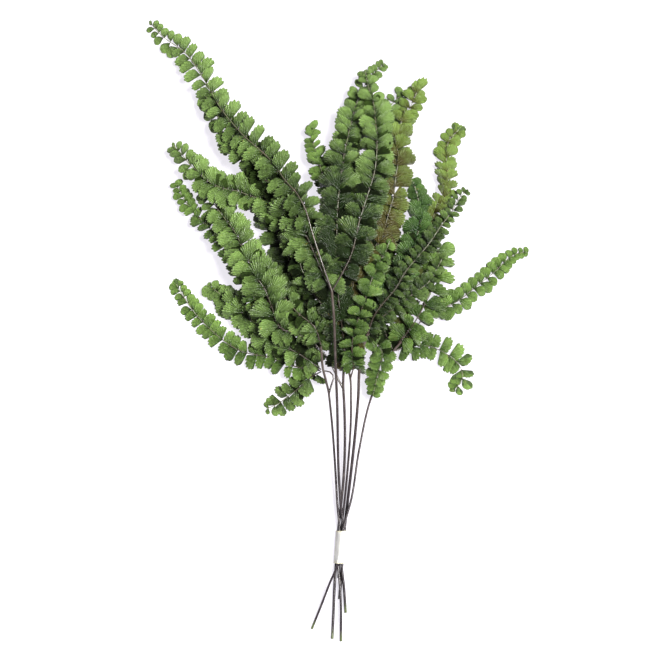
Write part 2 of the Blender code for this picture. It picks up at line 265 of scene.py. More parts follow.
@dataclass(frozen=True)
class StalkFinish:
    """A stalk's skin: dark, glossy and faintly ribbed, browner and greyer towards the leaves."""

    name: str
    low: Colour
    high: Colour
    scuff: Colour
    raw: Colour = (0.075, 0.100, 0.028)
    roughness: float = 0.34

    MOTTLE, STREAK = 160.0, 2200.0    # scales of the noise
    STRETCH = (1.0, 0.06, 1.0)        # draws the streaks out along the bunch

    def build(self) -> bpy.types.Material:
        """Make the material.

        Returns:
            The material, with its node graph.
        """
        material, graph = shader_graph(self.name)
        node = graph.node
        place = node("ShaderNodeTexCoord", out="Object")
        drawn = node("ShaderNodeMapping", {"Vector": place, "Scale": self.STRETCH})
        rise = node("ShaderNodeAttribute", out="Fac", attribute_name="rise")
        streak = node("ShaderNodeTexNoise", {"Vector": drawn, "Scale": self.STREAK, "Detail": 3.0})
        mottle = node("ShaderNodeTexNoise", {"Vector": place, "Scale": self.MOTTLE, "Detail": 3.0})
        worn = mottle.step(0.52, 0.75) * 0.5 + streak.step(0.55, 0.8) * 0.4
        colour = graph.mix(rise, self.low, self.high)
        colour = graph.mix(worn, colour, self.scuff)
        end = node("ShaderNodeAttribute", out="Fac", attribute_name="raw")
        colour = graph.mix(end * 0.85, colour, self.raw)
        relief = streak * 0.7 + mottle * 0.6
        bump = node("ShaderNodeBump", {"Strength": 0.5, "Distance": 0.0002, "Height": relief})
        surface = node("ShaderNodeBsdfPrincipled", {
            "Base Color": colour, "Roughness": self.roughness + (mottle - 0.5) * 0.3,
            "Normal": bump})
        node("ShaderNodeOutputMaterial", {0: surface})
        return material


@dataclass(frozen=True)
class CutFinish:
    """A stalk's cut face: a dark rind round pale pith."""

    name: str
    rind: Colour
    pith: Colour

    SPECKLE = 2600.0                  # scale of the noise

    def build(self) -> bpy.types.Material:
        """Make the material.

        Returns:
            The material, with its node graph.
        """
        material, graph = shader_graph(self.name)
        node = graph.node
        place = node("ShaderNodeTexCoord", out="Object")
        speckle = node("ShaderNodeTexNoise", {
            "Vector": place, "Scale": self.SPECKLE, "Detail": 3.0})
        colour = graph.mix(speckle.step(0.35, 0.65), self.rind, self.pith)
        bump = node("ShaderNodeBump", {"Strength": 0.6, "Distance": 0.0002, "Height": speckle})
        surface = node("ShaderNodeBsdfPrincipled", {
            "Base Color": colour, "Roughness": 0.6 + speckle * 0.3, "Normal": bump})
        node("ShaderNodeOutputMaterial", {0: surface})
        return material


@dataclass(frozen=True)
class PaperFinish:
    """Matt paper tape with fine crepe lines, a little yellow at its edges."""

    name: str
    face: Colour
    edge: Colour

    CLOUD, CREPE = 120.0, 2400.0      # scales of the noise
    STRETCH = (1.0, 0.12, 1.0)        # draws the crepe lines out along the bunch

    def build(self) -> bpy.types.Material:
        """Make the material.

        Returns:
            The material, with its node graph.
        """
        material, graph = shader_graph(self.name)
        node = graph.node
        place = node("ShaderNodeTexCoord", out="Object")
        chart = node("ShaderNodeUVMap", uv_map="wrap")
        height = node("ShaderNodeSeparateXYZ", {0: chart}, out="Y")
        crossed = node("ShaderNodeMapping", {"Vector": place, "Scale": self.STRETCH})
        crepe = node("ShaderNodeTexNoise", {"Vector": crossed, "Scale": self.CREPE, "Detail": 2.0})
        cloud = node("ShaderNodeTexNoise", {"Vector": place, "Scale": self.CLOUD, "Detail": 3.0})
        near_edge = 1 - height.step(0.0, 0.12) * (1 - height.step(0.93, 1.0))
        tint = (near_edge * 0.6 + cloud.step(0.5, 0.8) * 0.3).clipped()
        colour = graph.mix(tint, self.face, self.edge)
        relief = crepe * 0.6 + cloud * 0.6
        bump = node("ShaderNodeBump", {"Strength": 0.45, "Distance": 0.0003, "Height": relief})
        surface = node("ShaderNodeBsdfPrincipled", {
            "Base Color": colour, "Roughness": 0.62 + crepe * 0.2, "Normal": bump})
        node("ShaderNodeOutputMaterial", {0: surface})
        return material


@dataclass(frozen=True)
class TableFinish:
    """A plain table top that glows with the colour `lit`, so that shadows on it stay soft."""

    name: str
    light: Colour
    dark: Colour
    lit: Colour
    glow: float = 0.87

    CLOUD = 30.0                      # scale of the noise

    def build(self) -> bpy.types.Material:
        """Make the material.

        Returns:
            The material, with its node graph.
        """
        material, graph = shader_graph(self.name)
        node = graph.node
        place = node("ShaderNodeTexCoord", out="Object")
        cloud = node("ShaderNodeTexNoise", {"Vector": place, "Scale": self.CLOUD, "Detail": 2.0})
        surface = node("ShaderNodeBsdfPrincipled", {
            "Base Color": graph.mix(cloud, self.light, self.dark), "Roughness": 0.8,
            "Specular IOR Level": 0.1, "Emission Color": (*self.lit, 1),
            "Emission Strength": self.glow})
        node("ShaderNodeOutputMaterial", {0: surface})
        return material


class Leaf(Enum):
    """The four greens in the bunch."""

    DEEP = "leaf"
    FRESH = "leaf_fresh"
    OLIVE = "leaf_olive"
    BLUE = "leaf_blue"


LEAF_FINISHES = {
    Leaf.DEEP: LeafFinish("leaf_deep", (0.008, 0.018, 0.003), (0.137, 0.229, 0.051)),
    Leaf.FRESH: LeafFinish("leaf_fresh", (0.014, 0.034, 0.004), (0.152, 0.264, 0.050),
                           glow=0.08),
    Leaf.OLIVE: LeafFinish("leaf_olive", (0.044, 0.038, 0.009), (0.142, 0.226, 0.036),
                           speck=(0.17, 0.065, 0.020), specks=0.8, glow=0.08),
    Leaf.BLUE: LeafFinish("leaf_blue", (0.008, 0.024, 0.005), (0.058, 0.125, 0.022)),
}
# Painted shade: a near-black leaf for the lower layer and the pinnules deep in the pile, standing
# in for the shade there.
PAINTED_SHADE_FINISH = LeafFinish("leaf_inner", (0.003, 0.006, 0.001), (0.030, 0.056, 0.009),
                          vein=(0.030, 0.045, 0.012), under=(0.010, 0.016, 0.005),
                          specks=0.0, roughness=0.6, sheen=0.10, glow=0.0)
STALK_FINISH = StalkFinish("stalk_skin", (0.016, 0.012, 0.015), (0.050, 0.036, 0.030),
                           (0.085, 0.070, 0.064), roughness=0.28)
MIDRIB_FINISH = StalkFinish("midrib_skin", (0.022, 0.014, 0.011), (0.150, 0.165, 0.085),
                            (0.095, 0.066, 0.048), roughness=0.30)
CUT_FINISH = CutFinish("stalk_cut", (0.060, 0.030, 0.020), (0.230, 0.260, 0.120))
TAPE_FINISH = PaperFinish("paper_tape", (0.54, 0.54, 0.515), (0.54, 0.50, 0.31))
TABLE_FINISH = TableFinish("table_top", (0.24, 0.23, 0.25), (0.21, 0.20, 0.22), (0.90, 0.88, 0.94))


# --------------------------------------------------------------------------------------------
# Shapes
# --------------------------------------------------------------------------------------------


class Route:
    """A smooth curve through a few points of the plan, read by the distance along it."""

    HALVINGS = 40             # steps of the search for a crossing

    def __init__(self, points: Sequence[Point]) -> None:
        """Work out the marks and slopes at the points.

        Args:
            points: the plan's points. They are kept in millimetres in the frame.
        """
        self.points = [Vector(point) + CENTRE for point in points]
        steps = [(b - a).length for a, b in zip(self.points, self.points[1:])]
        self.marks = [sum(steps[:i]) for i in range(len(self.points))]
        self.length = self.marks[-1]
        slopes = [(b - a) / step for a, b, step in zip(self.points, self.points[1:], steps)]
        inner = [(slopes[i] * steps[i + 1] + slopes[i + 1] * steps[i]) / (steps[i] + steps[i + 1])
                 for i in range(len(slopes) - 1)]
        self.slopes = [slopes[0], *inner, slopes[-1]]

    def at(self, distance: float) -> Vector:
        """Find a point of the curve. Past its ends it runs on straight.

        Args:
            distance: the way from the start, in millimetres.

        Returns:
            The point, in millimetres.
        """
        if distance > self.length:
            return self.points[-1] + (distance - self.length) * self.slopes[-1]
        if distance < 0:
            return self.points[0] + distance * self.slopes[0]
        i = max(k for k in range(len(self.slopes) - 1) if self.marks[k] <= distance)
        span = self.marks[i + 1] - self.marks[i]
        t = (distance - self.marks[i]) / span
        return ((2 * t**3 - 3 * t**2 + 1) * self.points[i]
                + (t**3 - 2 * t**2 + t) * span * self.slopes[i]
                + (3 * t**2 - 2 * t**3) * self.points[i + 1]
                + (t**3 - t**2) * span * self.slopes[i + 1])

    def along(self, distance: float) -> Vector:
        """The direction of the curve at a distance from the start."""
        return (self.at(distance + 0.5) - self.at(distance - 0.5)).normalized()

    def crossing(self, y: float) -> Vector:
        """Find where the curve reaches a given Y.

        Args:
            y: the frame's Y, in millimetres.

        Returns:
            The point, in millimetres.
        """
        low, high = 0.0, self.length
        for _ in range(self.HALVINGS):
            middle = (low + high) / 2
            low, high = (middle, high) if self.at(middle).y < y else (low, middle)
        return self.at(low)


def add_object(name: str, data: Any) -> bpy.types.Object:
    """Add an object to the scene, at the origin.

    Args:
        name: the object's name.
        data: its mesh, curve, light or camera.

    Returns:
        The object.
    """
    obj = bpy.data.objects.new(name, data)
    bpy.context.scene.collection.objects.link(obj)
    return obj


def frozen(obj: bpy.types.Object, name: str) -> bpy.types.Object:
    """Replace an object with the plain mesh that its modifiers make.

    Args:
        obj: the object, which is removed.
        name: the new object's name.

    Returns:
        An object with the finished mesh and no modifiers.
    """
    graph = bpy.context.evaluated_depsgraph_get()
    mesh = bpy.data.meshes.new_from_object(obj.evaluated_get(graph), depsgraph=graph)
    bpy.data.objects.remove(obj)
    mesh.name = name
    return add_object(name, mesh)


def curve_object(name: str, points: Iterable[Vector], radii: Iterable[float]) -> bpy.types.Object:
    """Add a poly curve.

    Args:
        name: the object's name.
        points: its points, in millimetres.
        radii: its radius at each point, in millimetres.

    Returns:
        The curve's object.
    """
    curve = bpy.data.curves.new(name, "CURVE")
    curve.dimensions = "3D"
    spline = curve.splines.new("POLY")
    points = list(points)
    spline.points.add(len(points) - 1)
    for knot, point, radius in zip(spline.points, points, radii):
        knot.co = (*(point * MM), 1)
        knot.radius = radius * MM
    return add_object(name, curve)


@dataclass
class PinnuleShape:
    """One pinnule, a unit long: a fan on a narrow foot, with a scalloped outer margin.

    The blade lies along +X, with the tip of its pinna towards +Y, or -Y on the left side.
    Angles are in degrees, from the blade's axis. The lower side is straight. The upper side
    runs parallel to it, `width` away, where the fan is wider than that.
    """

    name: str
    hand: int
    low: float
    high: float
    width: float
    teeth: int = 6
    notch: float = 0.07
    cup: float = 0.10
    arch: float = 0.10
    fold: float = 0.0
    ripple: float = 0.02
    seed: int = 0
    round_to: float = 0.22
    thick: float = 0.02

    TOOTH = 3                 # columns of faces in a tooth
    WANDER = 0.2              # how far a column strays, in columns
    UNEVEN = (0.6, 1.4)       # bounds of a notch's depth, as shares of `notch`
    SAMPLES = 200             # points at which the margin is worked out
    START = 0.03              # keeps the lower side's first angle off zero
    CORNER = 5.0              # how sharply the fan turns into its parallel side
    ROUNDING = 4              # how late the margin's ends begin to draw in
    MIDDLE_ROW = 0.55         # the way out to the row between foot and margin
    SHARP = 60.0              # angle above which an edge is sharp, in degrees

    def outline(self) -> list[tuple[float, float, float]]:
        """Work out the scalloped margin.

        Returns:
            For each of its points the share of the way round it, the angle and the radius.
        """
        chance = random.Random(self.seed)
        fine = np.linspace(math.radians(self.low), math.radians(self.high), self.SAMPLES)
        flat = self.width / np.maximum(np.sin(fine - fine[0] + self.START), 0.05)
        reach = (1.0 + flat ** -self.CORNER) ** (-1 / self.CORNER)
        middle, half = (fine[0] + fine[-1]) / 2, (fine[-1] - fine[0]) / 2
        reach = reach * (1 - self.round_to * np.abs((fine - middle) / half) ** self.ROUNDING)
        x, y = reach * np.cos(fine), reach * np.sin(fine)
        run = np.concatenate(([0], np.cumsum(np.hypot(np.diff(x), np.diff(y)))))
        columns = self.teeth * self.TOOTH
        rim = []
        for i in range(columns + 1):
            shift = chance.uniform(-self.WANDER, self.WANDER) if 0 < i < columns else 0
            share = (i + shift) / columns
            angle = float(np.interp(share * run[-1], run, fine))
            radius = float(np.interp(share * run[-1], run, reach))
            if 0 < i < columns and i % self.TOOTH == 0:
                radius *= 1 - self.notch * chance.uniform(*self.UNEVEN)
            rim.append((i / columns, angle, radius))
        return rim

    def height(self, share: float, reach: float) -> float:
        """Work out how high the blade's middle layer is at a point.

        Args:
            share: the way round the fan, from 0 to 1.
            reach: the way out from the foot, as a share of the blade's length.

        Returns:
            The height, as a share of the blade's length.
        """
        off = 2 * share - 1
        wave = math.sin(math.pi * (0.5 * self.teeth * share + self.seed))
        return (-self.arch * reach**2 - self.cup * off**2 * reach
                - self.fold * abs(off) * reach + self.ripple * wave * reach**3)

    def build(self) -> bpy.types.Object:
        """Make the pinnule as a closed mesh with its chart and the mark of its lower face.

        Returns:
            The pinnule's object, in no collection yet.
        """
        rim = self.outline()
        shape = bmesh.new()
        chart = shape.loops.layers.uv.new("fan")
        below = shape.faces.layers.float.new("below")
        where: dict[bmesh.types.BMVert, tuple[float, float]] = {}

        def vert(share: float, angle: float, reach: float, lift: float) -> bmesh.types.BMVert:
            """Add a vertex.

            Args:
                share: the way round the fan, from 0 to 1.
                angle: the same as an angle.
                reach: the way out from the foot.
                lift: the height above the blade's middle layer.

            Returns:
                The vertex.
            """
            made = shape.verts.new((reach * math.cos(angle),
                                    self.hand * reach * math.sin(angle),
                                    self.height(share, reach) + lift))
            where[made] = (share, reach)
            return made

        def row(portion: float, lift: float) -> list[bmesh.types.BMVert]:
            """Vertices at a portion of the way out to the margin."""
            return [vert(share, angle, radius * portion, lift) for share, angle, radius in rim]

        up = self.thick / 2
        top_foot, low_foot = vert(0.5, 0.0, 0.0, up), vert(0.5, 0.0, 0.0, -up)
        middle, top, low = row(self.MIDDLE_ROW, up), row(1.0, up), row(1.0, -up)
        last = len(rim) - 1
        for i in range(last):
            shape.faces.new((top_foot, middle[i], middle[i + 1]))
            shape.faces.new((middle[i], top[i], top[i + 1], middle[i + 1]))
            shape.faces.new((top[i], low[i], low[i + 1], top[i + 1]))
            shape.faces.new((low_foot, low[i + 1], low[i]))[below] = 1.0
        for i in (0, last):
            shape.faces.new((top_foot, middle[i], top[i], low[i], low_foot))
        bmesh.ops.recalc_face_normals(shape, faces=shape.faces)
        for face in shape.faces:
            face.smooth = True
            for loop in face.loops:
                loop[chart].uv = where[loop.vert]
        mesh = bpy.data.meshes.new(self.name)
        shape.to_mesh(mesh)
        shape.free()
        mesh.set_sharp_from_angle(angle=math.radians(self.SHARP))
        return bpy.data.objects.new(self.name, mesh)


class Blade(Enum):
    """The kinds of pinnule."""

    HALF = "a half-fan, longer than wide"
    BROAD = "a wide scallop"
    OVAL = "small and round, near a tip"


class PinnuleSet:
    """The pinnule shapes that every pinna picks from, in one collection."""

    COUNTS = {Blade.HALF: 6, Blade.BROAD: 6, Blade.OVAL: 4}

    def __init__(self) -> None:
        """Make the shapes of each kind, for the right and the left side."""
        self.collection = bpy.data.collections.new("pinnule_shapes")
        self.first: dict[tuple[Blade, int], int] = {}
        place = 0
        for blade, count in self.COUNTS.items():
            for hand in (1, -1):
                self.first[blade, hand] = place
                for number in range(count):
                    shape = self.shape(blade, hand, number, f"pinnule_{place:02d}")
                    self.collection.objects.link(shape.build())
                    place += 1

    @staticmethod
    def shape(blade: Blade, hand: int, number: int, name: str) -> PinnuleShape:
        """Describe one shape.

        Args:
            blade: its kind.
            hand: 1 for the right side of a pinna and -1 for the left.
            number: its number among its kind, which its sizes vary with.
            name: its name.

        Returns:
            The shape, not yet built.
        """
        chance = random.Random(f"{blade.name} {number}")
        draw = chance.uniform
        bends = {"cup": draw(0.06, 0.26), "arch": draw(0.0, 0.24), "fold": draw(0.02, 0.16),
                 "ripple": draw(0.02, 0.06), "seed": number}
        if blade is Blade.OVAL:
            return PinnuleShape(name, hand, draw(-40, -30), draw(40, 50), 0.86, teeth=4,
                                notch=draw(0.0, 0.03), round_to=draw(0.30, 0.40), **bends)
        if blade is Blade.BROAD:
            return PinnuleShape(name, hand, draw(-42, -32), draw(52, 64), draw(1.02, 1.12),
                                teeth=8, notch=draw(0.04, 0.09), round_to=draw(0.14, 0.26),
                                **bends)
        return PinnuleShape(name, hand, draw(-20, -13), draw(62, 74), draw(0.64, 0.76), teeth=6,
                            notch=draw(0.06, 0.11), round_to=draw(0.14, 0.28), **bends)


class PinnaTree:
    """The node group that sets pinnules, on short stalklets, along a midrib."""

    RISE = 1.6                # how late a midrib takes on its upper colour
    DIM = 0.5                 # painted shade above which a pinnule takes the near-black painted-shade finish

    def __init__(self) -> None:
        """Build the group, with its sizes as named inputs."""
        self.group = bpy.data.node_groups.new("pinna", "GeometryNodeTree")
        graph = Graph(self.group)
        face = self.group.interface
        sockets = (("Points", "Geometry"), ("Midrib", "Object"), ("Shapes", "Collection"),
                   ("Stalklet", "Object"), ("Breadth", "Float"), ("Roll", "Float"),
                   ("Pitch", "Float"), ("Turn", "Float"), ("Spread", "Float"), ("Sides", "Int"),
                   ("Seed", "Int"), ("Leaf", "Material"), ("Inner", "Material"),
                   ("Stem", "Material"))
        self.names = {}
        for name, kind in sockets:
            self.names[name] = face.new_socket(name, in_out="INPUT",
                                               socket_type=f"NodeSocket{kind}").identifier
        face.new_socket("Geometry", in_out="OUTPUT", socket_type="NodeSocketGeometry")
        entry = self.group.nodes.new("NodeGroupInput")
        given = {name: Wire(graph, entry.outputs[name]) for name, _ in sockets}

        leaves = self.leaves(graph, given)
        stem = self.stem(graph, given)
        both = graph.node("GeometryNodeJoinGeometry", {0: [leaves, stem]})
        graph.node("NodeGroupOutput", {0: both})

    @staticmethod
    def leaves(graph: Graph, given: dict[str, Wire]) -> Wire:
        """Pick, turn and scale a pinnule at each point, then make them real.

        Args:
            graph: the group's graph.
            given: the group's inputs, by name.

        Returns:
            The pinnules.
        """
        node = graph.node

        def own(name: str, kind: str) -> Wire:
            """A value stored at each point."""
            return node("GeometryNodeInputNamedAttribute", {"Name": name}, data_type=kind)

        def chance(low: Any, high: Any, offset: int) -> Wire:
            """Draw a random value for each point.

            Args:
                low: the lower bound.
                high: the upper bound.
                offset: what is added to the group's seed.

            Returns:
                The value.
            """
            made = graph.tree.nodes.new("FunctionNodeRandomValue")
            made.data_type = "FLOAT"
            # The node's number bounds are its sockets 2 and 3, and its seed is socket 8.
            for place, value in ((2, low), (3, high), (8, given["Seed"] + offset)):
                graph.feed(made.inputs[place], value)
            return Wire(graph, made.outputs[1])

        tone = chance(0.0, 1.0, 1)
        points = node("GeometryNodeStoreNamedAttribute", {
            "Geometry": given["Points"], "Name": "tone", "Value": tone}, data_type="FLOAT",
            domain="POINT")
        shapes = node("GeometryNodeCollectionInfo", {
            "Collection": given["Shapes"], "Separate Children": True, "Reset Children": True})
        pick = own("first", "FLOAT") + node("ShaderNodeMath", {
            0: chance(0.0, 0.999, 2) * own("count", "FLOAT")}, operation="FLOOR")
        set_up = node("FunctionNodeAxesToRotation", {
            0: own("up", "FLOAT_VECTOR"), 1: own("out", "FLOAT_VECTOR")},
            primary_axis="Z", secondary_axis="X")
        hand = own("hand", "FLOAT")
        room = own("room", "FLOAT")
        roll = (own("lift", "FLOAT") + chance(-1.0, 1.0, 3) * given["Roll"] * room) * hand
        pitch = chance(-1.0, 1.0, 4) * given["Pitch"] * room
        turn = chance(-1.0, 1.0, 5) * given["Turn"]
        tilt = node("FunctionNodeEulerToRotation", {
            0: node("ShaderNodeCombineXYZ", {0: roll, 1: pitch, 2: turn})})
        turned = node("FunctionNodeRotateRotation", {0: set_up, 1: tilt}, rotation_space="LOCAL")
        size = own("length", "FLOAT") * (1 + chance(-1.0, 1.0, 6) * given["Spread"])
        wide = size * given["Breadth"] * (1 + chance(-1.0, 1.0, 7) * given["Spread"])
        scale = node("ShaderNodeCombineXYZ", {0: size, 1: wide, 2: size})
        copies = node("GeometryNodeInstanceOnPoints", {
            "Points": points, "Instance": shapes, "Pick Instance": True, "Instance Index": pick,
            "Rotation": turned, "Scale": scale})
        real = node("GeometryNodeRealizeInstances", {0: copies})
        # Pinnules with enough painted shade take the near-black painted-shade finish.
        lit = node("GeometryNodeSetMaterial", {"Geometry": real, "Material": given["Leaf"]})
        dim = node("FunctionNodeCompare", {0: own("shade", "FLOAT"), 1: PinnaTree.DIM},
                   data_type="FLOAT", operation="GREATER_THAN")
        return node("GeometryNodeSetMaterial", {
            "Geometry": lit, "Selection": dim, "Material": given["Inner"]})

    @staticmethod
    def stem(graph: Graph, given: dict[str, Wire]) -> Wire:
        """Make the midrib, a round tube with its own radius at each knot, and the stalklets.

        Args:
            graph: the group's graph.
            given: the group's inputs, by name.

        Returns:
            Both, joined and with their material.
        """
        node = graph.node
        line = node("GeometryNodeObjectInfo", {0: given["Midrib"]}, out="Geometry")
        profile = node("GeometryNodeCurvePrimitiveCircle", {
            "Resolution": given["Sides"], "Radius": 1.0})
        width = node("GeometryNodeInputNamedAttribute", {"Name": "radius"}, data_type="FLOAT")
        marked = node("GeometryNodeStoreNamedAttribute", {
            "Geometry": line, "Name": "rise",
            "Value": node("GeometryNodeSplineParameter") ** PinnaTree.RISE},
            data_type="FLOAT", domain="POINT")
        tube = node("GeometryNodeCurveToMesh", {
            "Curve": marked, "Profile Curve": profile, "Scale": width, "Fill Caps": True})
        turned = node("FunctionNodeAxesToRotation", {
            0: node("GeometryNodeInputNamedAttribute", {"Name": "up"}, data_type="FLOAT_VECTOR"),
            1: node("GeometryNodeInputNamedAttribute", {"Name": "out"}, data_type="FLOAT_VECTOR")},
            primary_axis="Z", secondary_axis="X")
        length = node("GeometryNodeInputNamedAttribute", {"Name": "length"}, data_type="FLOAT")
        small = node("ShaderNodeCombineXYZ", {0: length, 1: length, 2: length})
        stalklets = node("GeometryNodeInstanceOnPoints", {
            "Points": given["Points"],
            "Instance": node("GeometryNodeObjectInfo", {0: given["Stalklet"]}, out="Geometry"),
            "Rotation": turned, "Scale": small})
        real = node("GeometryNodeRealizeInstances", {
            0: node("GeometryNodeJoinGeometry", {0: [tube, stalklets]})})
        smooth = node("GeometryNodeSetShadeSmooth", {"Geometry": real})
        return node("GeometryNodeSetMaterial", {"Geometry": smooth, "Material": given["Stem"]})

    def grow(self, name: str, points: bpy.types.Object, **values: Any) -> bpy.types.Object:
        """Run the group on an object with the pinnules' places.

        Args:
            name: the finished piece's name.
            points: the object with one vertex for each pinnule.
            values: the group's inputs, by name.

        Returns:
            The piece, as a plain mesh.
        """
        modifier = points.modifiers.new("pinna", "NODES")
        modifier.node_group = self.group
        for key, value in values.items():
            modifier[self.names[key]] = value
        return frozen(points, name)


# --------------------------------------------------------------------------------------------
# The fronds
# --------------------------------------------------------------------------------------------


@dataclass
class Kit:
    """What every pinna and stalk is made with: shapes, node group and materials."""

    shapes: PinnuleSet
    tree: PinnaTree
    stalklet: bpy.types.Object
    leaves: dict[Leaf, bpy.types.Material]
    # the near-black finish that paints shade on the lower layer and the hidden pinnules
    inner: bpy.types.Material
    stalk: bpy.types.Material
    midrib: bpy.types.Material
    cut: bpy.types.Material


@dataclass
class Pinna:
    """A leafy arm of a frond. Lengths are in millimetres and angles in degrees.

    Attributes:
        name: the node's name, without its first word.
        reach: how far its longest pinnules stand from the midrib.
        pitch: the distance between them along the midrib.
        bare: the length of midrib below them.
        route: the midrib's way through the plan.
        leaf: its green.
        angles: the angles of the left and right pinnules from the midrib.
        youth: how young it is at the base and the tip: 0 is a deep old green, 1 a bright one.
        blade: the kind of its pinnules.
        breadth: how wide they are, as a share of their shape's own width.
        oval_from: the share of the leafy length above which they are small and round.
        cover: how far their feet reach over the midrib.
        skirt: the number of loose pinnules round its base.
        under: the share of the leafy length that has a second layer below, darkened with painted
            shade.
        taper: the share of their length that pinnules lose towards the tip.
        jumble: how uneven their turns are.
        rib: the midrib's radius at its foot.
        shade: how much painted shade darkens its lowest pinnules.
        end: the size of the pinnule at the very tip, before the taper.
        seed: the seed of its random draws.
    """

    name: str
    reach: float
    pitch: float
    bare: float
    route: list[Point]
    leaf: Leaf = Leaf.DEEP
    angles: tuple[float, float] = (66.0, 66.0)
    youth: tuple[float, float] = (0.15, 0.75)
    blade: Blade = Blade.HALF
    breadth: float = 1.0
    oval_from: float = 0.82
    cover: float = 0.6
    skirt: int = 0
    under: float = 0.7
    taper: float = 0.58
    jumble: float = 0.0
    rib: float = 0.55
    shade: float = 0.0
    end: float = 0.8
    seed: int = 0

    FIRST = 0.8               # size of the lowest pinnules
    GROWTH = 0.2              # what they gain
    FIRST_SHARE = 0.15        # share of the leafy length over which they gain it
    TAPER_CURVE = 4           # how late the taper sets in
    PITCH_LEAST = 0.15        # part of the pitch that does not shrink with the pinnules
    PITCH_GAIN = 0.85         # part that does
    LAST_PITCH = 0.6          # room that the last pair needs, in pitches
    LEAN = 0.10               # how far the feet stand past their marks, in pitches
    LIFT = 12.0               # roll that raises each pinnule's outer side over the next
    CLEAR = 1.0               # height above the table at which pinnules begin to tilt
    ROOM = 8.0                # further height at which they tilt freely
    YAW = 5.0                 # how far a pinnule's angle strays
    UNEVEN = 3                # how much more `jumble` makes it stray
    SHIFT = 0.06              # how far a foot strays along the midrib, in pitches
    DROOP = 0.10              # fall of a pinnule over its length
    COVER_UP = 0.35           # height of the feet above the midrib's middle
    SLANT = 0.75              # least sine by which a slanting pinnule is lengthened
    OVAL = 0.06               # how far the change to round pinnules strays
    AGEING = 1.8              # how late a pinna turns young towards its tip
    DIMMING = 0.2             # how far the painted shade strays
    UNDER_SHIFT = 0.5         # for the lower layer: its shift, in pitches,
    UNDER_SIZE = 0.8          # its size, as a share of the upper layer's,
    UNDER_TURN = 10.0         # how much further back it turns,
    UNDER_DROOP = 0.40        # its fall,
    UNDER_DROP = 1.4          # its depth below the midrib,
    UNDER_COVER = 1.2         # how much further its feet reach over the midrib
    UNDER_DARKENING = 0.25          # and how much darker its painted shade makes it
    BACK = 38.0               # how far the lowest pinnules turn back
    BACK_SHARE = 0.12         # share of the leafy length over which they do
    FORWARD = 14.0            # how far the highest turn forward
    FORWARD_CURVE = 3         # how late they do
    SKIRT_PLACE = (-2, 10)    # bounds of the loose pinnules' places past the bare midrib,
    SKIRT_SIZE = (0.75, 1.0)  # of their sizes
    SKIRT_TURN = (95, 150)    # and of their angles
    TIP_BACK = 1.0            # how far the tip's pinnule stands back from the midrib's end
    TIP_REACH = 0.5           # and what part of its length is added to that
    TIP_ANGLE = 22            # its angle
    LAY = 0.6                 # height under which leaves are pressed flat
    LAY_FADE = 4.0            # how softly they are, in such heights
    BASE = 0.2                # from the route's start to the midrib's
    KNOT = 4.0                # distance between the midrib's knots
    RIB_TIP = 0.28            # the midrib's radius at its tip
    STRAY = {"Roll": math.radians(17), "Pitch": math.radians(12), "Turn": math.radians(8),
             "Spread": 0.12}  # how far the pinnules' tilts and sizes stray
    RIB_SIDES = 6

    def marks(self, length: float) -> list[tuple[float, float, float]]:
        """Work out where the pinnule pairs stand.

        Args:
            length: the midrib's length.

        Returns:
            For each pair its distance along the midrib, its share of the leafy part and its
            size, 1 for the longest.
        """
        found = []
        start = self.bare
        while True:
            share = (start - self.bare) / (length - self.bare)
            grown = self.FIRST + self.GROWTH * min(1.0, share / self.FIRST_SHARE)
            size = (1 - self.taper * share**self.TAPER_CURVE) * grown
            pitch = self.pitch * (self.PITCH_LEAST + self.PITCH_GAIN * size)
            if start + self.LAST_PITCH * pitch > length:
                return found
            found.append((start + pitch * self.LEAN, share, size))
            start += pitch

    def places(self, kit: Kit, route: Route) -> bpy.types.Object:
        """Place the pinnules.

        Args:
            kit: what the bunch is made with.
            route: the midrib's way.

        Returns:
            An object with a vertex at the foot of each pinnule, and what the pinnule needs.
        """
        chance = random.Random(self.seed)
        uneven = 1 + self.UNEVEN * self.jumble
        rows: dict[str, list] = {key: [] for key in (
            "place", "out", "up", "hand", "length", "lift", "room", "youth", "shade",
            "first", "count")}

        def put(distance: float, share: float, size: float, hand: int, angle: float,
                under: bool = False, last: bool = False) -> None:
            """Add one pinnule.

            Args:
                distance: its place along the midrib.
                share: the same, as a share of the leafy length.
                size: its size, 1 for the longest.
                hand: 1 for the right side and -1 for the left.
                angle: its angle from the midrib, in degrees.
                under: whether it is in the layer under the midrib.
                last: whether it is the one at the tip.
            """
            along = route.along(distance)
            side = along.cross((0, 0, 1)).normalized() * hand
            up = (side.cross(along) * hand).normalized()
            yaw = math.radians(angle + chance.uniform(-self.YAW, self.YAW) * uneven)
            foot = route.at(distance)
            room = min(1.0, max(0.0, (foot.z - self.CLEAR) / self.ROOM))
            droop = (self.UNDER_DROOP if under else self.DROOP) * room
            out = (along * math.cos(yaw) + side * math.sin(yaw) - up * droop).normalized()
            foot += up * (-self.UNDER_DROP * room if under else self.COVER_UP)
            foot -= side * (self.cover + self.UNDER_COVER * under)
            small = share > self.oval_from + chance.uniform(-self.OVAL, self.OVAL)
            blade = Blade.HALF if last else Blade.OVAL if small else self.blade
            low, high = self.youth
            rows["place"].append(foot * MM)
            rows["out"].append(out)
            rows["up"].append(up)
            rows["hand"].append(float(hand))
            slant = max(math.sin(yaw), self.SLANT) if angle < 90 else 1.0
            rows["length"].append(self.reach * size / slant * MM)
            rows["lift"].append(math.radians(self.LIFT) * room)
            rows["room"].append(room * (1 + self.jumble))
            rows["youth"].append(low + (high - low) * share**self.AGEING
                                 - self.UNDER_DARKENING * under)
            # The lower layer is fully in painted shade; other pinnules take their pinna's painted
            # shade, fading towards the tip.
            dim = 1.0 if under else self.shade * (1 - share)
            rows["shade"].append(dim + chance.uniform(-self.DIMMING, self.DIMMING))
            rows["first"].append(float(kit.shapes.first[blade, hand]))
            rows["count"].append(float(kit.shapes.COUNTS[blade]))

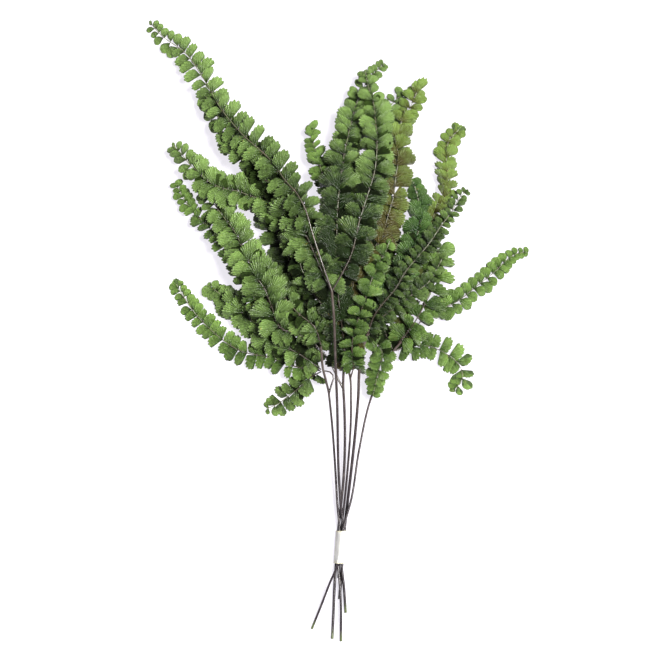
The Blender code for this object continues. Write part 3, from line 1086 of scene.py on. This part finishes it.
        for distance, share, size in self.marks(route.length):
            back = self.BACK * max(0.0, 1 - share / self.BACK_SHARE)
            forward = self.FORWARD * share**self.FORWARD_CURVE
            for hand, angle in ((-1, self.angles[0]), (1, self.angles[1])):
                shift = chance.uniform(-self.SHIFT, self.SHIFT) * uneven
                place = distance + shift * self.pitch
                put(place, share, size, hand, angle + back - forward)
                if share < self.under:
                    put(place + self.pitch * self.UNDER_SHIFT, share, size * self.UNDER_SIZE,
                        hand, angle + back + self.UNDER_TURN, under=True)
        for number in range(self.skirt):
            put(self.bare + chance.uniform(*self.SKIRT_PLACE), 0.0,
                chance.uniform(*self.SKIRT_SIZE), number % 2 * 2 - 1,
                chance.uniform(*self.SKIRT_TURN), under=number % 3 == 0)
        tip = self.end * (1 - self.taper)
        put(route.length - self.TIP_BACK - self.TIP_REACH * tip * self.reach, 1.0, tip, 1,
            self.TIP_ANGLE, last=True)

        mesh = bpy.data.meshes.new(self.name + "_places")
        mesh.from_pydata([tuple(place) for place in rows.pop("place")], [], [])
        for key, values in rows.items():
            vector = key in ("out", "up")
            layer = mesh.attributes.new(key, "FLOAT_VECTOR" if vector else "FLOAT", "POINT")
            layer.data.foreach_set("vector" if vector else "value",
                                   np.array(values, np.float32).ravel())
        return add_object(self.name + "_places", mesh)

    def rest(self, mesh: bpy.types.Mesh) -> None:
        """Lay on the table what would reach below it.

        Args:
            mesh: the finished pinna, which is changed.
        """
        spots = np.empty(len(mesh.vertices) * 3, np.float32)
        mesh.vertices.foreach_get("co", spots)
        spots = spots.reshape(-1, 3)
        low = self.LAY * MM
        deep = spots[:, 2] < low
        spots[deep, 2] = low * np.exp((spots[deep, 2] - low) / (self.LAY_FADE * low))
        mesh.vertices.foreach_set("co", spots.ravel())
        mesh.update()

    def build(self, kit: Kit) -> bpy.types.Object:
        """Args:
            kit: what the bunch is made with.

        Returns:
            The finished piece.
        """
        node = "frond_" + self.name
        route = Route(self.route)
        places = self.places(kit, route)
        steps = max(8, round(route.length / self.KNOT))
        shares = [self.BASE / route.length + (1 - self.BASE / route.length) * i / steps
                  for i in range(steps + 1)]
        rib = curve_object(node + "_rib", [route.at(s * route.length) for s in shares],
                           [self.RIB_TIP + (self.rib - self.RIB_TIP) * (1 - s)**2
                            for s in shares])
        piece = kit.tree.grow(
            node + "_leaf", places, Midrib=rib, Shapes=kit.shapes.collection,
            Stalklet=kit.stalklet, Breadth=self.breadth, **self.STRAY, Sides=self.RIB_SIDES,
            Seed=self.seed, Leaf=kit.leaves[self.leaf], Inner=kit.inner, Stem=kit.midrib)
        bpy.data.objects.remove(rib)
        self.rest(piece.data)
        declare(piece, node)
        return piece


@dataclass
class Stalk:
    """A frond's stalk: a round stem from the cut end up, with the branches of its fork.

    Attributes:
        letter: the frond's letter.
        radius: the stem's radius at the cut end, in millimetres.
        route: the stem's way through the plan.
        branches: the way of each branch.
        taper: the radius at the stem's upper end, as a share of the cut end's.
    """

    letter: str
    radius: float
    route: list[Point]
    branches: list[list[Point]] = field(default_factory=list)
    taper: float = 0.92

    TWIG_FOOT = 0.9           # a branch's radius at its foot, as a share of its stem's there
    TWIG = 0.5                # and at its upper end, as a share of the cut end's
    STEP = 3.0                # distance between a stem's knots, in millimetres
    UNEVEN = 0.03             # how far the radius strays, in millimetres
    SIDES = 12
    WELD = 0.00002            # distance within which vertices are joined, in metres
    RISE = 3                  # how late a stem takes on its upper colour
    RAW = 0.007               # length of paler skin above the cut, in metres
    RAW_CURVE = 0.5           # how late the paler skin fades
    CUT_NEAR = 0.001          # how near the stem's start a cut face is, in metres,
    CUT_FACING = 0.9          # and how squarely it faces back
    SHARP = 50.0              # angle above which an edge is sharp, in degrees

    def tube(self, name: str, route: Route, radii: tuple[float, float]) -> bpy.types.Object:
        """Make one stem, slightly uneven in thickness.

        Args:
            name: the stem's name.
            route: its way.
            radii: its radius at the start and the end, in millimetres.

        Returns:
            The stem, as a closed mesh.
        """
        chance = random.Random(name)
        steps = max(6, round(route.length / self.STEP))
        knots = [i / steps for i in range(steps + 1)]
        widths = [radii[0] + (radii[1] - radii[0]) * s
                  + chance.uniform(-self.UNEVEN, self.UNEVEN) for s in knots]
        curve = curve_object(name + "_line", [route.at(s * route.length) for s in knots], widths)
        curve.data.bevel_depth = 1.0
        curve.data.bevel_resolution = self.SIDES // 4 - 1
        curve.data.use_fill_caps = True
        made = frozen(curve, name)
        work = bmesh.new()
        work.from_mesh(made.data)
        bmesh.ops.remove_doubles(work, verts=work.verts, dist=self.WELD)
        work.to_mesh(made.data)
        work.free()
        return made

    def build(self, kit: Kit) -> bpy.types.Object:
        """Args:
            kit: what the bunch is made with.

        Returns:
            The finished piece.
        """
        node = f"frond_{self.letter}_stalk"
        top = self.radius * self.taper
        route = Route(self.route)
        piece = self.tube(node + "_stem", route, (self.radius, top))
        twigs = []
        for number, branch in enumerate(self.branches, 1):
            twig = self.tube(f"{node}_twig_{number}", Route(branch),
                             (top * self.TWIG_FOOT, self.radius * self.TWIG))
            twigs.append(twig)
            union = piece.modifiers.new("fork", "BOOLEAN")
            union.operation = "UNION"
            union.object = twig
        if twigs:
            name = piece.name
            piece.name = name + "_open"
            piece = frozen(piece, name)
        for twig in twigs:
            bpy.data.objects.remove(twig)
        self.dress(piece, route, kit)
        declare(piece, node)
        return piece

    def dress(self, piece: bpy.types.Object, route: Route, kit: Kit) -> None:
        """Give the stalk its skin, its cut face and the marks that the skin reads.

        Args:
            piece: the stalk.
            route: its stem's way.
            kit: what the bunch is made with.
        """
        mesh = piece.data
        mesh.materials.clear()
        mesh.materials.append(kit.stalk)
        mesh.materials.append(kit.cut)
        mesh.shade_smooth()
        low = route.points[0].y
        high = route.points[-1].y
        rise = mesh.attributes.new("rise", "FLOAT", "POINT")
        heights = [min(1.0, max(0.0, (v.co.y / MM - low) / (high - low))) ** self.RISE
                   for v in mesh.vertices]
        rise.data.foreach_set("value", heights)
        start = route.points[0] * MM
        raw = mesh.attributes.new("raw", "FLOAT", "POINT")
        raw.data.foreach_set("value", [
            max(0.0, 1 - (v.co - start).length / self.RAW) ** self.RAW_CURVE
            for v in mesh.vertices])
        down = -route.along(0)
        for face in mesh.polygons:
            face.material_index = 0
            near = (face.center - start).length < self.CUT_NEAR
            if near and face.normal.dot(down) > self.CUT_FACING:
                face.material_index = 1
        mesh.set_sharp_from_angle(angle=math.radians(self.SHARP))


def declare(piece: bpy.types.Object, node: str) -> None:
    """Tell the frame what a finished piece rides on and replaces, and log it.

    Args:
        piece: the piece.
        node: the node of the part that it stands for.
    """
    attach(piece, BODY)
    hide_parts(node)
    LOG.info("%s stands for %s, %d faces", piece.name, node, len(piece.data.polygons))


@dataclass
class Frond:
    """One frond: a stalk and the pinnae on it."""

    stalk: Stalk
    pinnae: list[Pinna]

    def build(self, kit: Kit) -> None:
        """Make every piece of the frond.

        Args:
            kit: what the bunch is made with.
        """
        self.stalk.build(kit)
        for pinna in self.pinnae:
            pinna.build(kit)


FRONDS = [
    Frond(
        Stalk("a", 1.0, [
            (2.4, -249, 0.9), (2.4, -222, 3.9), (1.2, -200, 4.5), (0.0, -188, 4.4),
            (1.2, -158, 4.4), (-0.6, -137, 5.2), (-1.6, -119, 6.2), (-6.4, -58, 12.3),
            (-7.6, -48, 13.5), (-10, -38, 15.5), (-11.8, -31, 17.2), (-13.6, -12, 20.5)],
            [[(-7.3, -50, 13.2), (-5.4, -43, 12.6), (-3.6, -36, 12), (-6.5, -32.4, 11.4),
            (-12.5, -31.6, 10.5)]]),
        [
            Pinna("a_pinna_low", 12.5, 7.8, 4, [
                (-13.2, -32, 10.2), (-24, -38, 8), (-31, -45, 6), (-40, -52, 3.8), (-48, -58, 2.1),
                (-57, -62, 1.3)],
                youth=(0.35, 0.8), breadth=0.86, cover=-0.2, under=0.3, taper=0.76, seed=1),
            Pinna("a_pinna_left", 11.5, 7.8, 8, [
                (-14, -31.4, 10.4), (-28, -29.5, 8.6), (-38, -27, 7.6), (-54, -21, 6.4),
                (-77, -16, 5), (-85, -12, 4.4), (-96, -4, 3.4), (-106, 5, 2.6), (-116, 16, 2),
                (-124, 28, 1.4), (-130, 38, 0.9)],
                leaf=Leaf.FRESH, youth=(0.3, 0.9), cover=-0.2, under=0.0, end=1.4, seed=2),
            Pinna("a_pinna_upper", 15, 8.4, 6, [
                (-13.4, -30.6, 11), (-28, -20, 11.4), (-40, -13, 11.6), (-53, -4, 11.4),
                (-62, 4, 11), (-73, 12, 10), (-81, 19, 9), (-92, 28, 7), (-104, 37, 5)],
                youth=(0.3, 0.9), blade=Blade.BROAD, breadth=0.9, skirt=4, under=0.9, jumble=0.5,
                seed=3),
            Pinna("a_pinna_main", 15, 9.4, 3, [
                (-13.7, -10.6, 20.8), (-19, 4, 23.4), (-30, 13, 22.6), (-41, 25, 19.5),
                (-48, 37, 15.6), (-55, 51, 12.5)],
                youth=(0.35, 0.6), blade=Blade.BROAD, breadth=0.68, skirt=12, under=0.9,
                jumble=0.8, shade=0.15, seed=4),
        ],
    ),
    Frond(
        Stalk("b", 1.1, [
            (6.2, -226, 1.0), (4.8, -205, 3.4), (3.0, -188, 4.6), (4.2, -158, 4.6),
            (2.0, -137, 6.6), (0.8, -119, 8.6), (-0.8, -55, 20), (-2.4, -15, 29), (-3.2, 9, 34),
            (-5, 32, 38)],
            taper=0.96),
        [
            Pinna("b_pinna_left", 16, 9.8, 60, [
                (-5, 32, 38), (-14, 58, 41), (-21, 80, 41), (-26, 97, 39.5), (-33, 110, 38),
                (-42, 120, 36), (-50, 132, 33.5), (-77, 158, 25.5), (-92, 176, 19.5),
                (-108, 203, 11.5), (-122, 223, 7), (-142, 238, 2.6), (-151, 248, 1.2)],
                angles=(76, 62), youth=(0.3, 1.6), breadth=0.86, cover=-0.3, under=0.0, taper=0.7,
                rib=0.95, seed=5),
            Pinna("b_pinna_right", 16.8, 8.2, 16, [
                (-5, 32, 38), (2, 44, 37.8), (10, 60, 37.5), (17, 88, 36.8), (22, 104, 35.5),
                (29.5, 130, 31.5), (31, 152, 27.5), (30, 167, 24), (28, 184, 19), (24, 197, 15.5),
                (22, 208, 13)],
                youth=(-0.2, 1.5), blade=Blade.BROAD, breadth=0.72, oval_from=0.78, under=0.85,
                taper=0.72, jumble=0.3, rib=0.7, seed=6),
            Pinna("b_pinna_under", 17.5, 9, 8, [
                (-5.4, 31, 35.6), (-16, 55, 34), (-28, 82, 31), (-42, 104, 27.5), (-58, 122, 25.5),
                (-74, 143, 20), (-88, 160, 14.5), (-101, 180, 8.5), (-107, 190, 6.5)],
                youth=(0.15, 0.8), blade=Blade.BROAD, breadth=0.85, skirt=10, jumble=0.6,
                shade=0.2, seed=7),
        ],
    ),
    Frond(
        Stalk("c", 1.15, [
            (-4.6, -247, 1.05), (-3.8, -231, 1.2), (-2.5, -200, 1.75), (-1.7, -188, 1.75),
            (0.4, -158, 1.75), (1.7, -146, 1.75), (4.4, -119, 4.2), (4.8, -55, 12),
            (4.2, -45, 13.6), (4.6, -22, 17), (3.4, -6, 19.2), (1.0, 10, 20.6)],
            [[(4.3, -46, 13.4), (0.6, -39, 13.8), (-8, -22, 14.6), (-20, -9, 15.2),
            (-31, -3, 15.6)]]),
        [
            Pinna("c_pinna_top", 16, 8.2, 12, [
                (0.6, 12, 20), (-14, 52, 20), (-30, 73, 21), (-45, 91, 21.5), (-58, 104, 21.8),
                (-69, 108, 21.8), (-80, 112, 21.5), (-94, 115, 20.5), (-105, 121, 18),
                (-112, 128, 15.5), (-119, 134, 13), (-125, 142, 11), (-132, 149, 9.5)],
                youth=(0.1, 1.3), blade=Blade.BROAD, breadth=0.7, cover=0.4, under=0.8, seed=8),
            Pinna("c_pinna_outer", 11.5, 7.2, 4, [
                (-32.4, -3.4, 14.6), (-48, 4, 15.5), (-61, 17, 17.6), (-72, 37, 19), (-82, 56, 17),
                (-95, 75, 13), (-106, 86, 10), (-114, 94, 8), (-123, 105, 6), (-130, 119, 4.5)],
                leaf=Leaf.FRESH, youth=(0.15, 0.85), breadth=0.85, skirt=4, under=0.3, seed=9),
            Pinna("c_pinna_inner", 17, 8, 4, [
                (-32.6, -2.2, 16.2), (-46, 3, 20), (-53, 20, 25), (-58, 33, 27.5), (-65, 44, 28),
                (-73, 60, 26), (-84, 82, 20), (-92, 92, 16.5), (-102, 105, 12.5),
                (-111, 112, 9.5)],
                youth=(0.35, 1.0), blade=Blade.BROAD, breadth=0.68, skirt=6, under=0.8, jumble=0.4,
                seed=10),
            Pinna("c_pinna_shaded", 18, 9.4, 4, [
                (-20, -8.6, 13.6), (-22, 8, 11), (-25, 25, 10.5), (-33, 45, 10.5), (-41, 61, 11),
                (-48, 77, 11.5), (-56, 91, 11), (-64, 102, 9)],
                youth=(0.1, 0.3), blade=Blade.BROAD, breadth=0.62, skirt=10, under=0.95,
                jumble=0.8, shade=0.3, seed=11),
            Pinna("c_pinna_middle", 13, 8.6, 3, [
                (0.6, 10.6, 22), (-9, 18, 24), (-18, 28, 26.5), (-27, 45, 28), (-34, 67, 28),
                (-38, 85, 26.5), (-40, 98, 25)],
                youth=(0.05, 0.45), blade=Blade.BROAD, breadth=0.78, skirt=14, jumble=1.0,
                shade=0.3, seed=12),
            Pinna("c_pinna_upper", 15, 7, 6, [
                (1.2, 12, 21), (3, 30, 21.5), (6, 50, 22), (6, 73, 22.5), (2, 93, 22.5),
                (-6, 111, 20.5), (-13, 128, 17.5), (-17, 141, 14.5), (-20, 152, 11.5),
                (-21, 164, 9)],
                leaf=Leaf.FRESH, youth=(0.1, 0.9), breadth=0.72, oval_from=0.97, skirt=4,
                under=0.8, taper=0.7, end=1.9, seed=13),
            Pinna("c_pinna_inside", 13, 9, 3, [
                (2.8, -6, 17.4), (-3, 8, 15.5), (-8, 25, 15), (-12, 45, 15), (-14, 65, 14.5),
                (-15, 80, 14)],
                youth=(0.0, 0.2), blade=Blade.BROAD, breadth=0.85, skirt=12, jumble=1.0, shade=0.9,
                seed=14),
        ],
    ),
    Frond(
        Stalk("d", 0.95, [
            (0.4, -198, 1.55), (0.75, -188, 1.55), (2.85, -158, 1.55), (4.2, -146, 1.55),
            (7.0, -119, 4.4), (10.4, -55, 14), (9.6, -36, 16), (7.0, -26, 18)],
            [[(9.7, -38, 15.8), (12.2, -30, 19.4)]]),
        [
            Pinna("d_pinna_middle", 13, 8.4, 3, [
                (12.6, -28.8, 19.8), (11.4, -20, 24.5), (11, -12, 27), (14, 4, 31), (17, 13, 32.5),
                (21, 24, 33), (27, 42, 33), (31, 52, 32), (37, 62, 30.5), (41, 72, 28.5)],
                leaf=Leaf.FRESH, angles=(76, 70), youth=(0.15, 0.5), breadth=0.95, skirt=16,
                under=0.8, jumble=0.6, seed=15),
            Pinna("d_pinna_bronze", 15, 8.4, 4, [
                (8.4, -24.4, 18.6), (10, 0, 22.2), (10, 25, 25), (20, 60, 27), (33, 72, 27),
                (40, 93, 26.5), (45, 111, 25), (46, 123, 23.5), (48, 136, 21.5), (47, 153, 18),
                (50, 166, 15), (58, 180, 11.5), (65, 196, 9)],
                leaf=Leaf.OLIVE, youth=(-0.6, 1.0), blade=Blade.BROAD, breadth=0.78, skirt=14,
                under=0.4, taper=0.45, jumble=0.4, end=1.5, seed=16),
            Pinna("d_pinna_top", 17.5, 8.2, 4, [
                (6.2, -24.6, 19), (3.6, 0, 24.4), (0.4, 25, 28.5), (-1, 48, 30.5), (-1, 81, 32),
                (0.5, 109, 31), (4, 136, 26), (7.5, 154, 21.5), (12, 172, 16), (17, 188, 10.5),
                (26, 204, 5), (37, 215, 1.3)],
                youth=(-0.65, 1.45), blade=Blade.BROAD, breadth=0.72, oval_from=0.74, skirt=12,
                under=0.85, taper=0.74, jumble=0.4, seed=17),
        ],
    ),
    Frond(
        Stalk("e", 1.25, [
            (1.2, -215, 1.3), (2.4, -200, 1.85), (3.25, -188, 1.85), (5.4, -158, 1.85),
            (6.7, -146, 1.85), (9.8, -119, 5), (16, -55, 16), (17.8, -24, 20), (20, -13, 21.4),
            (22.8, -4, 22.4)]),
        [
            Pinna("e_pinna_right", 9.8, 6.4, 4, [
                (22.8, -4, 22.6), (29, 13, 24), (37, 24, 25), (45, 33, 25), (54, 48, 24),
                (65, 61, 22.5), (74, 72, 20.5), (82, 84, 18), (91, 96, 15.5), (98, 108, 13),
                (103, 113, 12)],
                youth=(0.0, 0.6), breadth=0.8, cover=-0.2, skirt=8, under=0.8, rib=0.7, seed=18),
            Pinna("e_pinna_fine", 10.5, 6.4, 5, [
                (24, -3.2, 21.4), (36, 12, 21.4), (51, 23, 21), (61, 31, 20.5), (72, 39, 19.5),
                (79, 50, 17.5), (84, 60, 16)],
                youth=(0.1, 0.45), breadth=0.8, under=0.9, end=1.2, seed=19),
            Pinna("e_pinna_blue", 13, 7.8, 4, [
                (23.4, -2.6, 20.4), (33, 20, 17), (45, 38, 15.5), (53, 49, 15), (59, 65, 15),
                (64, 79, 14.5), (66, 93, 14), (64, 107, 13), (60, 121, 12)],
                leaf=Leaf.BLUE, youth=(0.2, 0.6), blade=Blade.BROAD, skirt=10, shade=0.4, seed=20),
            Pinna("e_pinna_hidden", 15, 8.8, 3, [
                (22.4, -2.4, 19.8), (25, 20, 18.5), (26, 45, 18), (28, 70, 17.5), (31, 100, 16.5),
                (36, 125, 14), (38, 145, 12), (40, 163, 9.5), (43, 182, 7), (50, 189, 6)],
                youth=(0.0, 0.6), blade=Blade.BROAD, breadth=0.8, skirt=14, under=0.9, taper=0.5,
                jumble=0.8, shade=0.6, seed=21),
            Pinna("e_pinna_hanging", 11.5, 6.8, 5, [
                (22.4, -9.6, 19.4), (30, -9, 18.5), (35, -16, 17.3), (33.5, -28, 15.5),
                (31, -38, 14), (29, -47, 12.5), (28, -51, 12)],
                leaf=Leaf.FRESH, youth=(0.3, 0.7), blade=Blade.BROAD, breadth=0.78, skirt=5,
                under=0.2, taper=0.72, seed=22),
        ],
    ),
    Frond(
        Stalk("f", 0.95, [
            (-21, -239, 0.85), (-13, -219, 2.6), (-6.2, -201, 5.2), (-0.6, -188, 6.6),
            (4.2, -158, 6.6), (10.4, -136, 6.2), (17, -95, 6.6), (27, -52, 8), (39, -25, 9),
            (44.5, -15.5, 9.6), (51, -8, 10)]),
        [
            Pinna("f_pinna_tall", 12, 7.4, 5, [
                (51.2, -6.4, 8.4), (54, 18, 7.2), (59, 45, 7.4), (64, 65, 8.4), (71, 80, 9.4),
                (78, 96, 9.8), (86, 113, 9.4), (86, 123, 8.5), (87, 136, 6.5), (89, 153, 3.4),
                (97, 162, 1.2)],
                leaf=Leaf.OLIVE, angles=(56, 56), youth=(-0.1, 1.25), breadth=0.88, skirt=8,
                under=0.3, taper=0.45, end=1.3, seed=23),
            Pinna("f_pinna_edge", 18, 11.5, 4, [
                (48.6, -9, 11), (56, 0, 12.6), (63, 10, 13.6), (69, 21, 13.8), (74, 32, 13.2),
                (77, 41, 12.4), (79, 52, 12.4), (80, 64, 13), (81, 74, 13)],
                leaf=Leaf.FRESH, angles=(70, 84), youth=(0.2, 0.6), breadth=0.95, skirt=6,
                under=0.0, taper=0.3, seed=24),
            Pinna("f_pinna_right", 11, 7.4, 8, [
                (52.4, -8.4, 9.6), (60, -1, 8.6), (67, 9, 8), (77, 17, 7.4), (90, 21, 6.8),
                (97, 25, 6), (106, 32, 5), (116, 40, 4), (126, 48, 2.6), (134, 56, 1.8),
                (142, 62, 1.2), (152, 64, 0.8)],
                leaf=Leaf.FRESH, youth=(0.3, 0.85), oval_from=0.3, under=0.0, taper=0.7, seed=25),
            Pinna("f_pinna_drooping", 12.8, 8.4, 5, [
                (45.8, -15.4, 8.8), (55, -12.4, 7), (66, -11, 5.6), (77, -13, 4.6), (87, -18, 3.6),
                (94, -23, 2.6), (99, -30, 1.8), (100, -37, 1.4), (97, -43, 1.1), (92, -48, 0.9)],
                leaf=Leaf.FRESH, youth=(0.35, 0.9), breadth=0.9, cover=0.0, under=0.0, seed=26),
            Pinna("f_pinna_hidden", 12.5, 9, 4, [
                (43.6, -14, 7.6), (36, 5, 5), (34, 25, 4.6), (36, 45, 4.6), (40, 65, 3.6),
                (46, 85, 1.6)],
                youth=(0.0, 0.2), blade=Blade.BROAD, skirt=10, jumble=0.6, shade=0.8, seed=27),
        ],
    ),
]


@dataclass
class Tape:
    """The strip of paper tape wound round the six stalks. Lengths are in millimetres.

    Attributes:
        low: the plan's Y at the lower edge.
        width: the strip's width.
        clearance: the room left round the stalks.
        paper: the strip's thickness.
        turns: the number of full turns.
        columns: the number of faces round the tape.
        rows: the number of faces along it.
        slant: how far the strip's end slants, as an angle.
        start: the angle at which the strip ends.
        lap: the angle over which it lies one layer thicker.
    """

    low: float = -186.0
    width: float = 26.0
    clearance: float = 0.28
    paper: float = 0.13
    turns: int = 2
    columns: int = 96
    rows: int = 20
    slant: float = 0.35
    start: float = 1.1
    lap: float = 2.6

    SEED = 5
    WAVES = 4                 # number of waves that make up the creases
    CREASE = 0.05             # height of each wave
    EDGE = 0.10               # how much the edges stand up
    EDGE_SHARE = 0.02         # and how narrow they are
    SHARP = 40.0              # angle above which an edge is sharp, in degrees

    def radius_points(self, y: float, extra: list[float]) -> list[Vector]:
        """Work out the taut outline round the stalks.

        Args:
            y: the place along the bunch, in the plan.
            extra: how far out each column is past the clearance.

        Returns:
            One point for each column, in metres.
        """
        circles = []
        for frond in FRONDS:
            centre = Route(frond.stalk.route).crossing(y + CENTRE.y)
            circles.append((centre.x, centre.z, frond.stalk.radius))
        ring = []
        for i in range(self.columns):
            angle = 2 * math.pi * i / self.columns
            unit = (math.cos(angle), math.sin(angle))
            x, z, radius = max(circles, key=lambda c: c[0] * unit[0] + c[1] * unit[1] + c[2])
            reach = radius + self.clearance + extra[i]
            ring.append(Vector((x + reach * unit[0], y + CENTRE.y, z + reach * unit[1])) * MM)
        return ring

    def layers(self, share: float) -> list[float]:
        """Work out how thick the winding is, with the step where the strip ends.

        Args:
            share: the place across the strip, from 0 to 1.

        Returns:
            The thickness at each column.
        """
        chance = random.Random(self.SEED)
        puffs = [chance.uniform(0, 2 * math.pi) for _ in range(self.WAVES)]
        thick = []
        for i in range(self.columns):
            angle = 2 * math.pi * i / self.columns
            behind = (angle - self.start - self.slant * (share - 0.5)) % (2 * math.pi)
            lap = 1.0 if behind < self.lap else 0.0
            crease = self.CREASE * sum(math.sin((3 + 2 * k) * angle + 5 * share + puff)
                                       for k, puff in enumerate(puffs))
            edge = self.EDGE * math.exp(-((share * (1 - share)) / self.EDGE_SHARE) ** 2)
            thick.append(self.paper * (self.turns + lap) + crease * 0.5 + edge)
        return thick

    def build(self, material: bpy.types.Material) -> bpy.types.Object:
        """Args:
            material: its finish.

        Returns:
            The finished piece.
        """
        shape = bmesh.new()
        chart = shape.loops.layers.uv.new("wrap")
        share_of: dict[bmesh.types.BMVert, tuple[float, float]] = {}
        walls = []
        for inner in (False, True):
            rings = []
            for row in range(self.rows + 1):
                share = row / self.rows
                extra = [0.0] * self.columns if inner else self.layers(share)
                ring = []
                points = self.radius_points(self.low + self.width * share, extra)
                for i, point in enumerate(points):
                    made = shape.verts.new(point)
                    share_of[made] = (i / self.columns, share)
                    ring.append(made)
                rings.append(ring)
            walls.append(rings)
        outer, inside = walls
        for rings in walls:
            for low, high in zip(rings, rings[1:]):
                for i in range(self.columns):
                    j = (i + 1) % self.columns
                    shape.faces.new((low[i], low[j], high[j], high[i]))
        for row in (0, -1):
            for i in range(self.columns):
                j = (i + 1) % self.columns
                shape.faces.new((outer[row][i], outer[row][j], inside[row][j], inside[row][i]))
        bmesh.ops.recalc_face_normals(shape, faces=shape.faces)
        for face in shape.faces:
            face.smooth = True
            for loop in face.loops:
                loop[chart].uv = share_of[loop.vert]
        mesh = bpy.data.meshes.new("paper_tape")
        shape.to_mesh(mesh)
        shape.free()
        mesh.materials.append(material)
        mesh.set_sharp_from_angle(angle=math.radians(self.SHARP))
        piece = add_object("paper_tape", mesh)
        declare(piece, "binding_tape")
        return piece


# --------------------------------------------------------------------------------------------
# The studio
# --------------------------------------------------------------------------------------------


@dataclass
class Studio:
    """The table, the soft light and the camera that looks straight down.

    Attributes:
        aim: the point under the camera, in millimetres.
        field: the width of the view at `level`, in millimetres.
        level: the height that the view is framed at, in millimetres.
        height: the camera's height above that, in metres.
        table: the table's size, in metres.
        drop: how far the table top is below the bunch, in metres.
        zenith: the sky's colour overhead.
        horizon: its colour at the sides.
        sky_rise: the height in the sky at which the first is reached.
        sun_strength: the sun's strength.
        sun_spread: its angular size, in degrees.
        sun_colour: its colour.
        sun_from: the direction that it shines from.
        sensor: the camera's sensor width, in millimetres.
        far: how far the camera sees, in metres.
    """

    aim: tuple[float, float] = (-9.65, 3.85)
    field: float = 520.0
    level: float = 15.0
    height: float = 3.0
    table: float = 14.0
    drop: float = 0.0001
    zenith: Colour = (0.19, 0.18, 0.22)
    horizon: Colour = (0.9, 0.9, 0.94)
    sky_rise: float = 0.6
    sun_strength: float = 10.2
    sun_spread: float = 26.0
    sun_colour: Colour = (1.0, 1.0, 0.96)
    sun_from: tuple[float, float, float] = (0.52, 0.20, 1.0)
    sensor: float = 36.0
    far: float = 100.0

    def build(self, material: bpy.types.Material) -> None:
        """Lay the table, set the lights and place the camera.

        Args:
            material: the table's finish.
        """
        bpy.ops.mesh.primitive_plane_add(size=self.table, location=(0, 0, -self.drop))
        floor = bpy.context.object
        floor.name = "table_top"
        floor.data.materials.append(material)

        world = bpy.data.worlds.new("studio")
        world.use_nodes = True
        graph = Graph(world.node_tree)
        compass = graph.node("ShaderNodeTexCoord", out="Generated")
        rise = graph.node("ShaderNodeSeparateXYZ", {0: compass}, out="Z").step(0.0, self.sky_rise)
        sky = graph.mix(rise, self.horizon, self.zenith)
        light = graph.node("ShaderNodeBackground", {"Color": sky})
        graph.node("ShaderNodeOutputWorld", {0: light})
        bpy.context.scene.world = world

        lamp = bpy.data.lights.new("soft_key", "SUN")
        lamp.energy = self.sun_strength
        lamp.angle = math.radians(self.sun_spread)
        lamp.color = self.sun_colour
        key = add_object("soft_key", lamp)
        key.rotation_euler = Vector(self.sun_from).to_track_quat("Z", "Y").to_euler()

        lens = bpy.data.cameras.new("overhead")
        lens.sensor_width = self.sensor
        lens.lens = lens.sensor_width * self.height / (self.field * MM)
        lens.clip_end = self.far
        camera = add_object("overhead", lens)
        camera.location = (self.aim[0] * MM, self.aim[1] * MM, self.height + self.level * MM)
        bpy.context.scene.camera = camera
        bpy.context.scene.view_settings.view_transform = "Standard"


def stalklet(radius: float = 0.018, start: float = -0.02, end: float = 0.12) -> bpy.types.Object:
    """Make the short wiry stalk at a pinnule's foot, for a pinnule one unit long.

    Args:
        radius: its radius.
        start: where it starts, along the pinnule's axis.
        end: where it ends.

    Returns:
        The stalklet, as a plain mesh.
    """
    curve = bpy.data.curves.new("stalklet", "CURVE")
    curve.dimensions = "3D"
    curve.bevel_depth = radius
    curve.bevel_resolution = 0
    spline = curve.splines.new("POLY")
    spline.points.add(1)
    for knot, place in zip(spline.points, (start, end)):
        knot.co = (place, 0, 0, 1)
    return frozen(add_object("stalklet_line", curve), "stalklet")


def main() -> None:
    """Build the fronds, the tape and the studio, in that order."""
    logging.basicConfig(level=logging.INFO, format="%(name)s: %(message)s")
    kit = Kit(PinnuleSet(), PinnaTree(), stalklet(),
              {leaf: finish.build() for leaf, finish in LEAF_FINISHES.items()},
              PAINTED_SHADE_FINISH.build(), STALK_FINISH.build(), MIDRIB_FINISH.build(),
              CUT_FINISH.build())
    for frond in FRONDS:
        frond.build(kit)
    Tape().build(TAPE_FINISH.build())
    bpy.data.objects.remove(kit.stalklet)
    Studio().build(TABLE_FINISH.build())


if __name__ == "__main__":
    main()
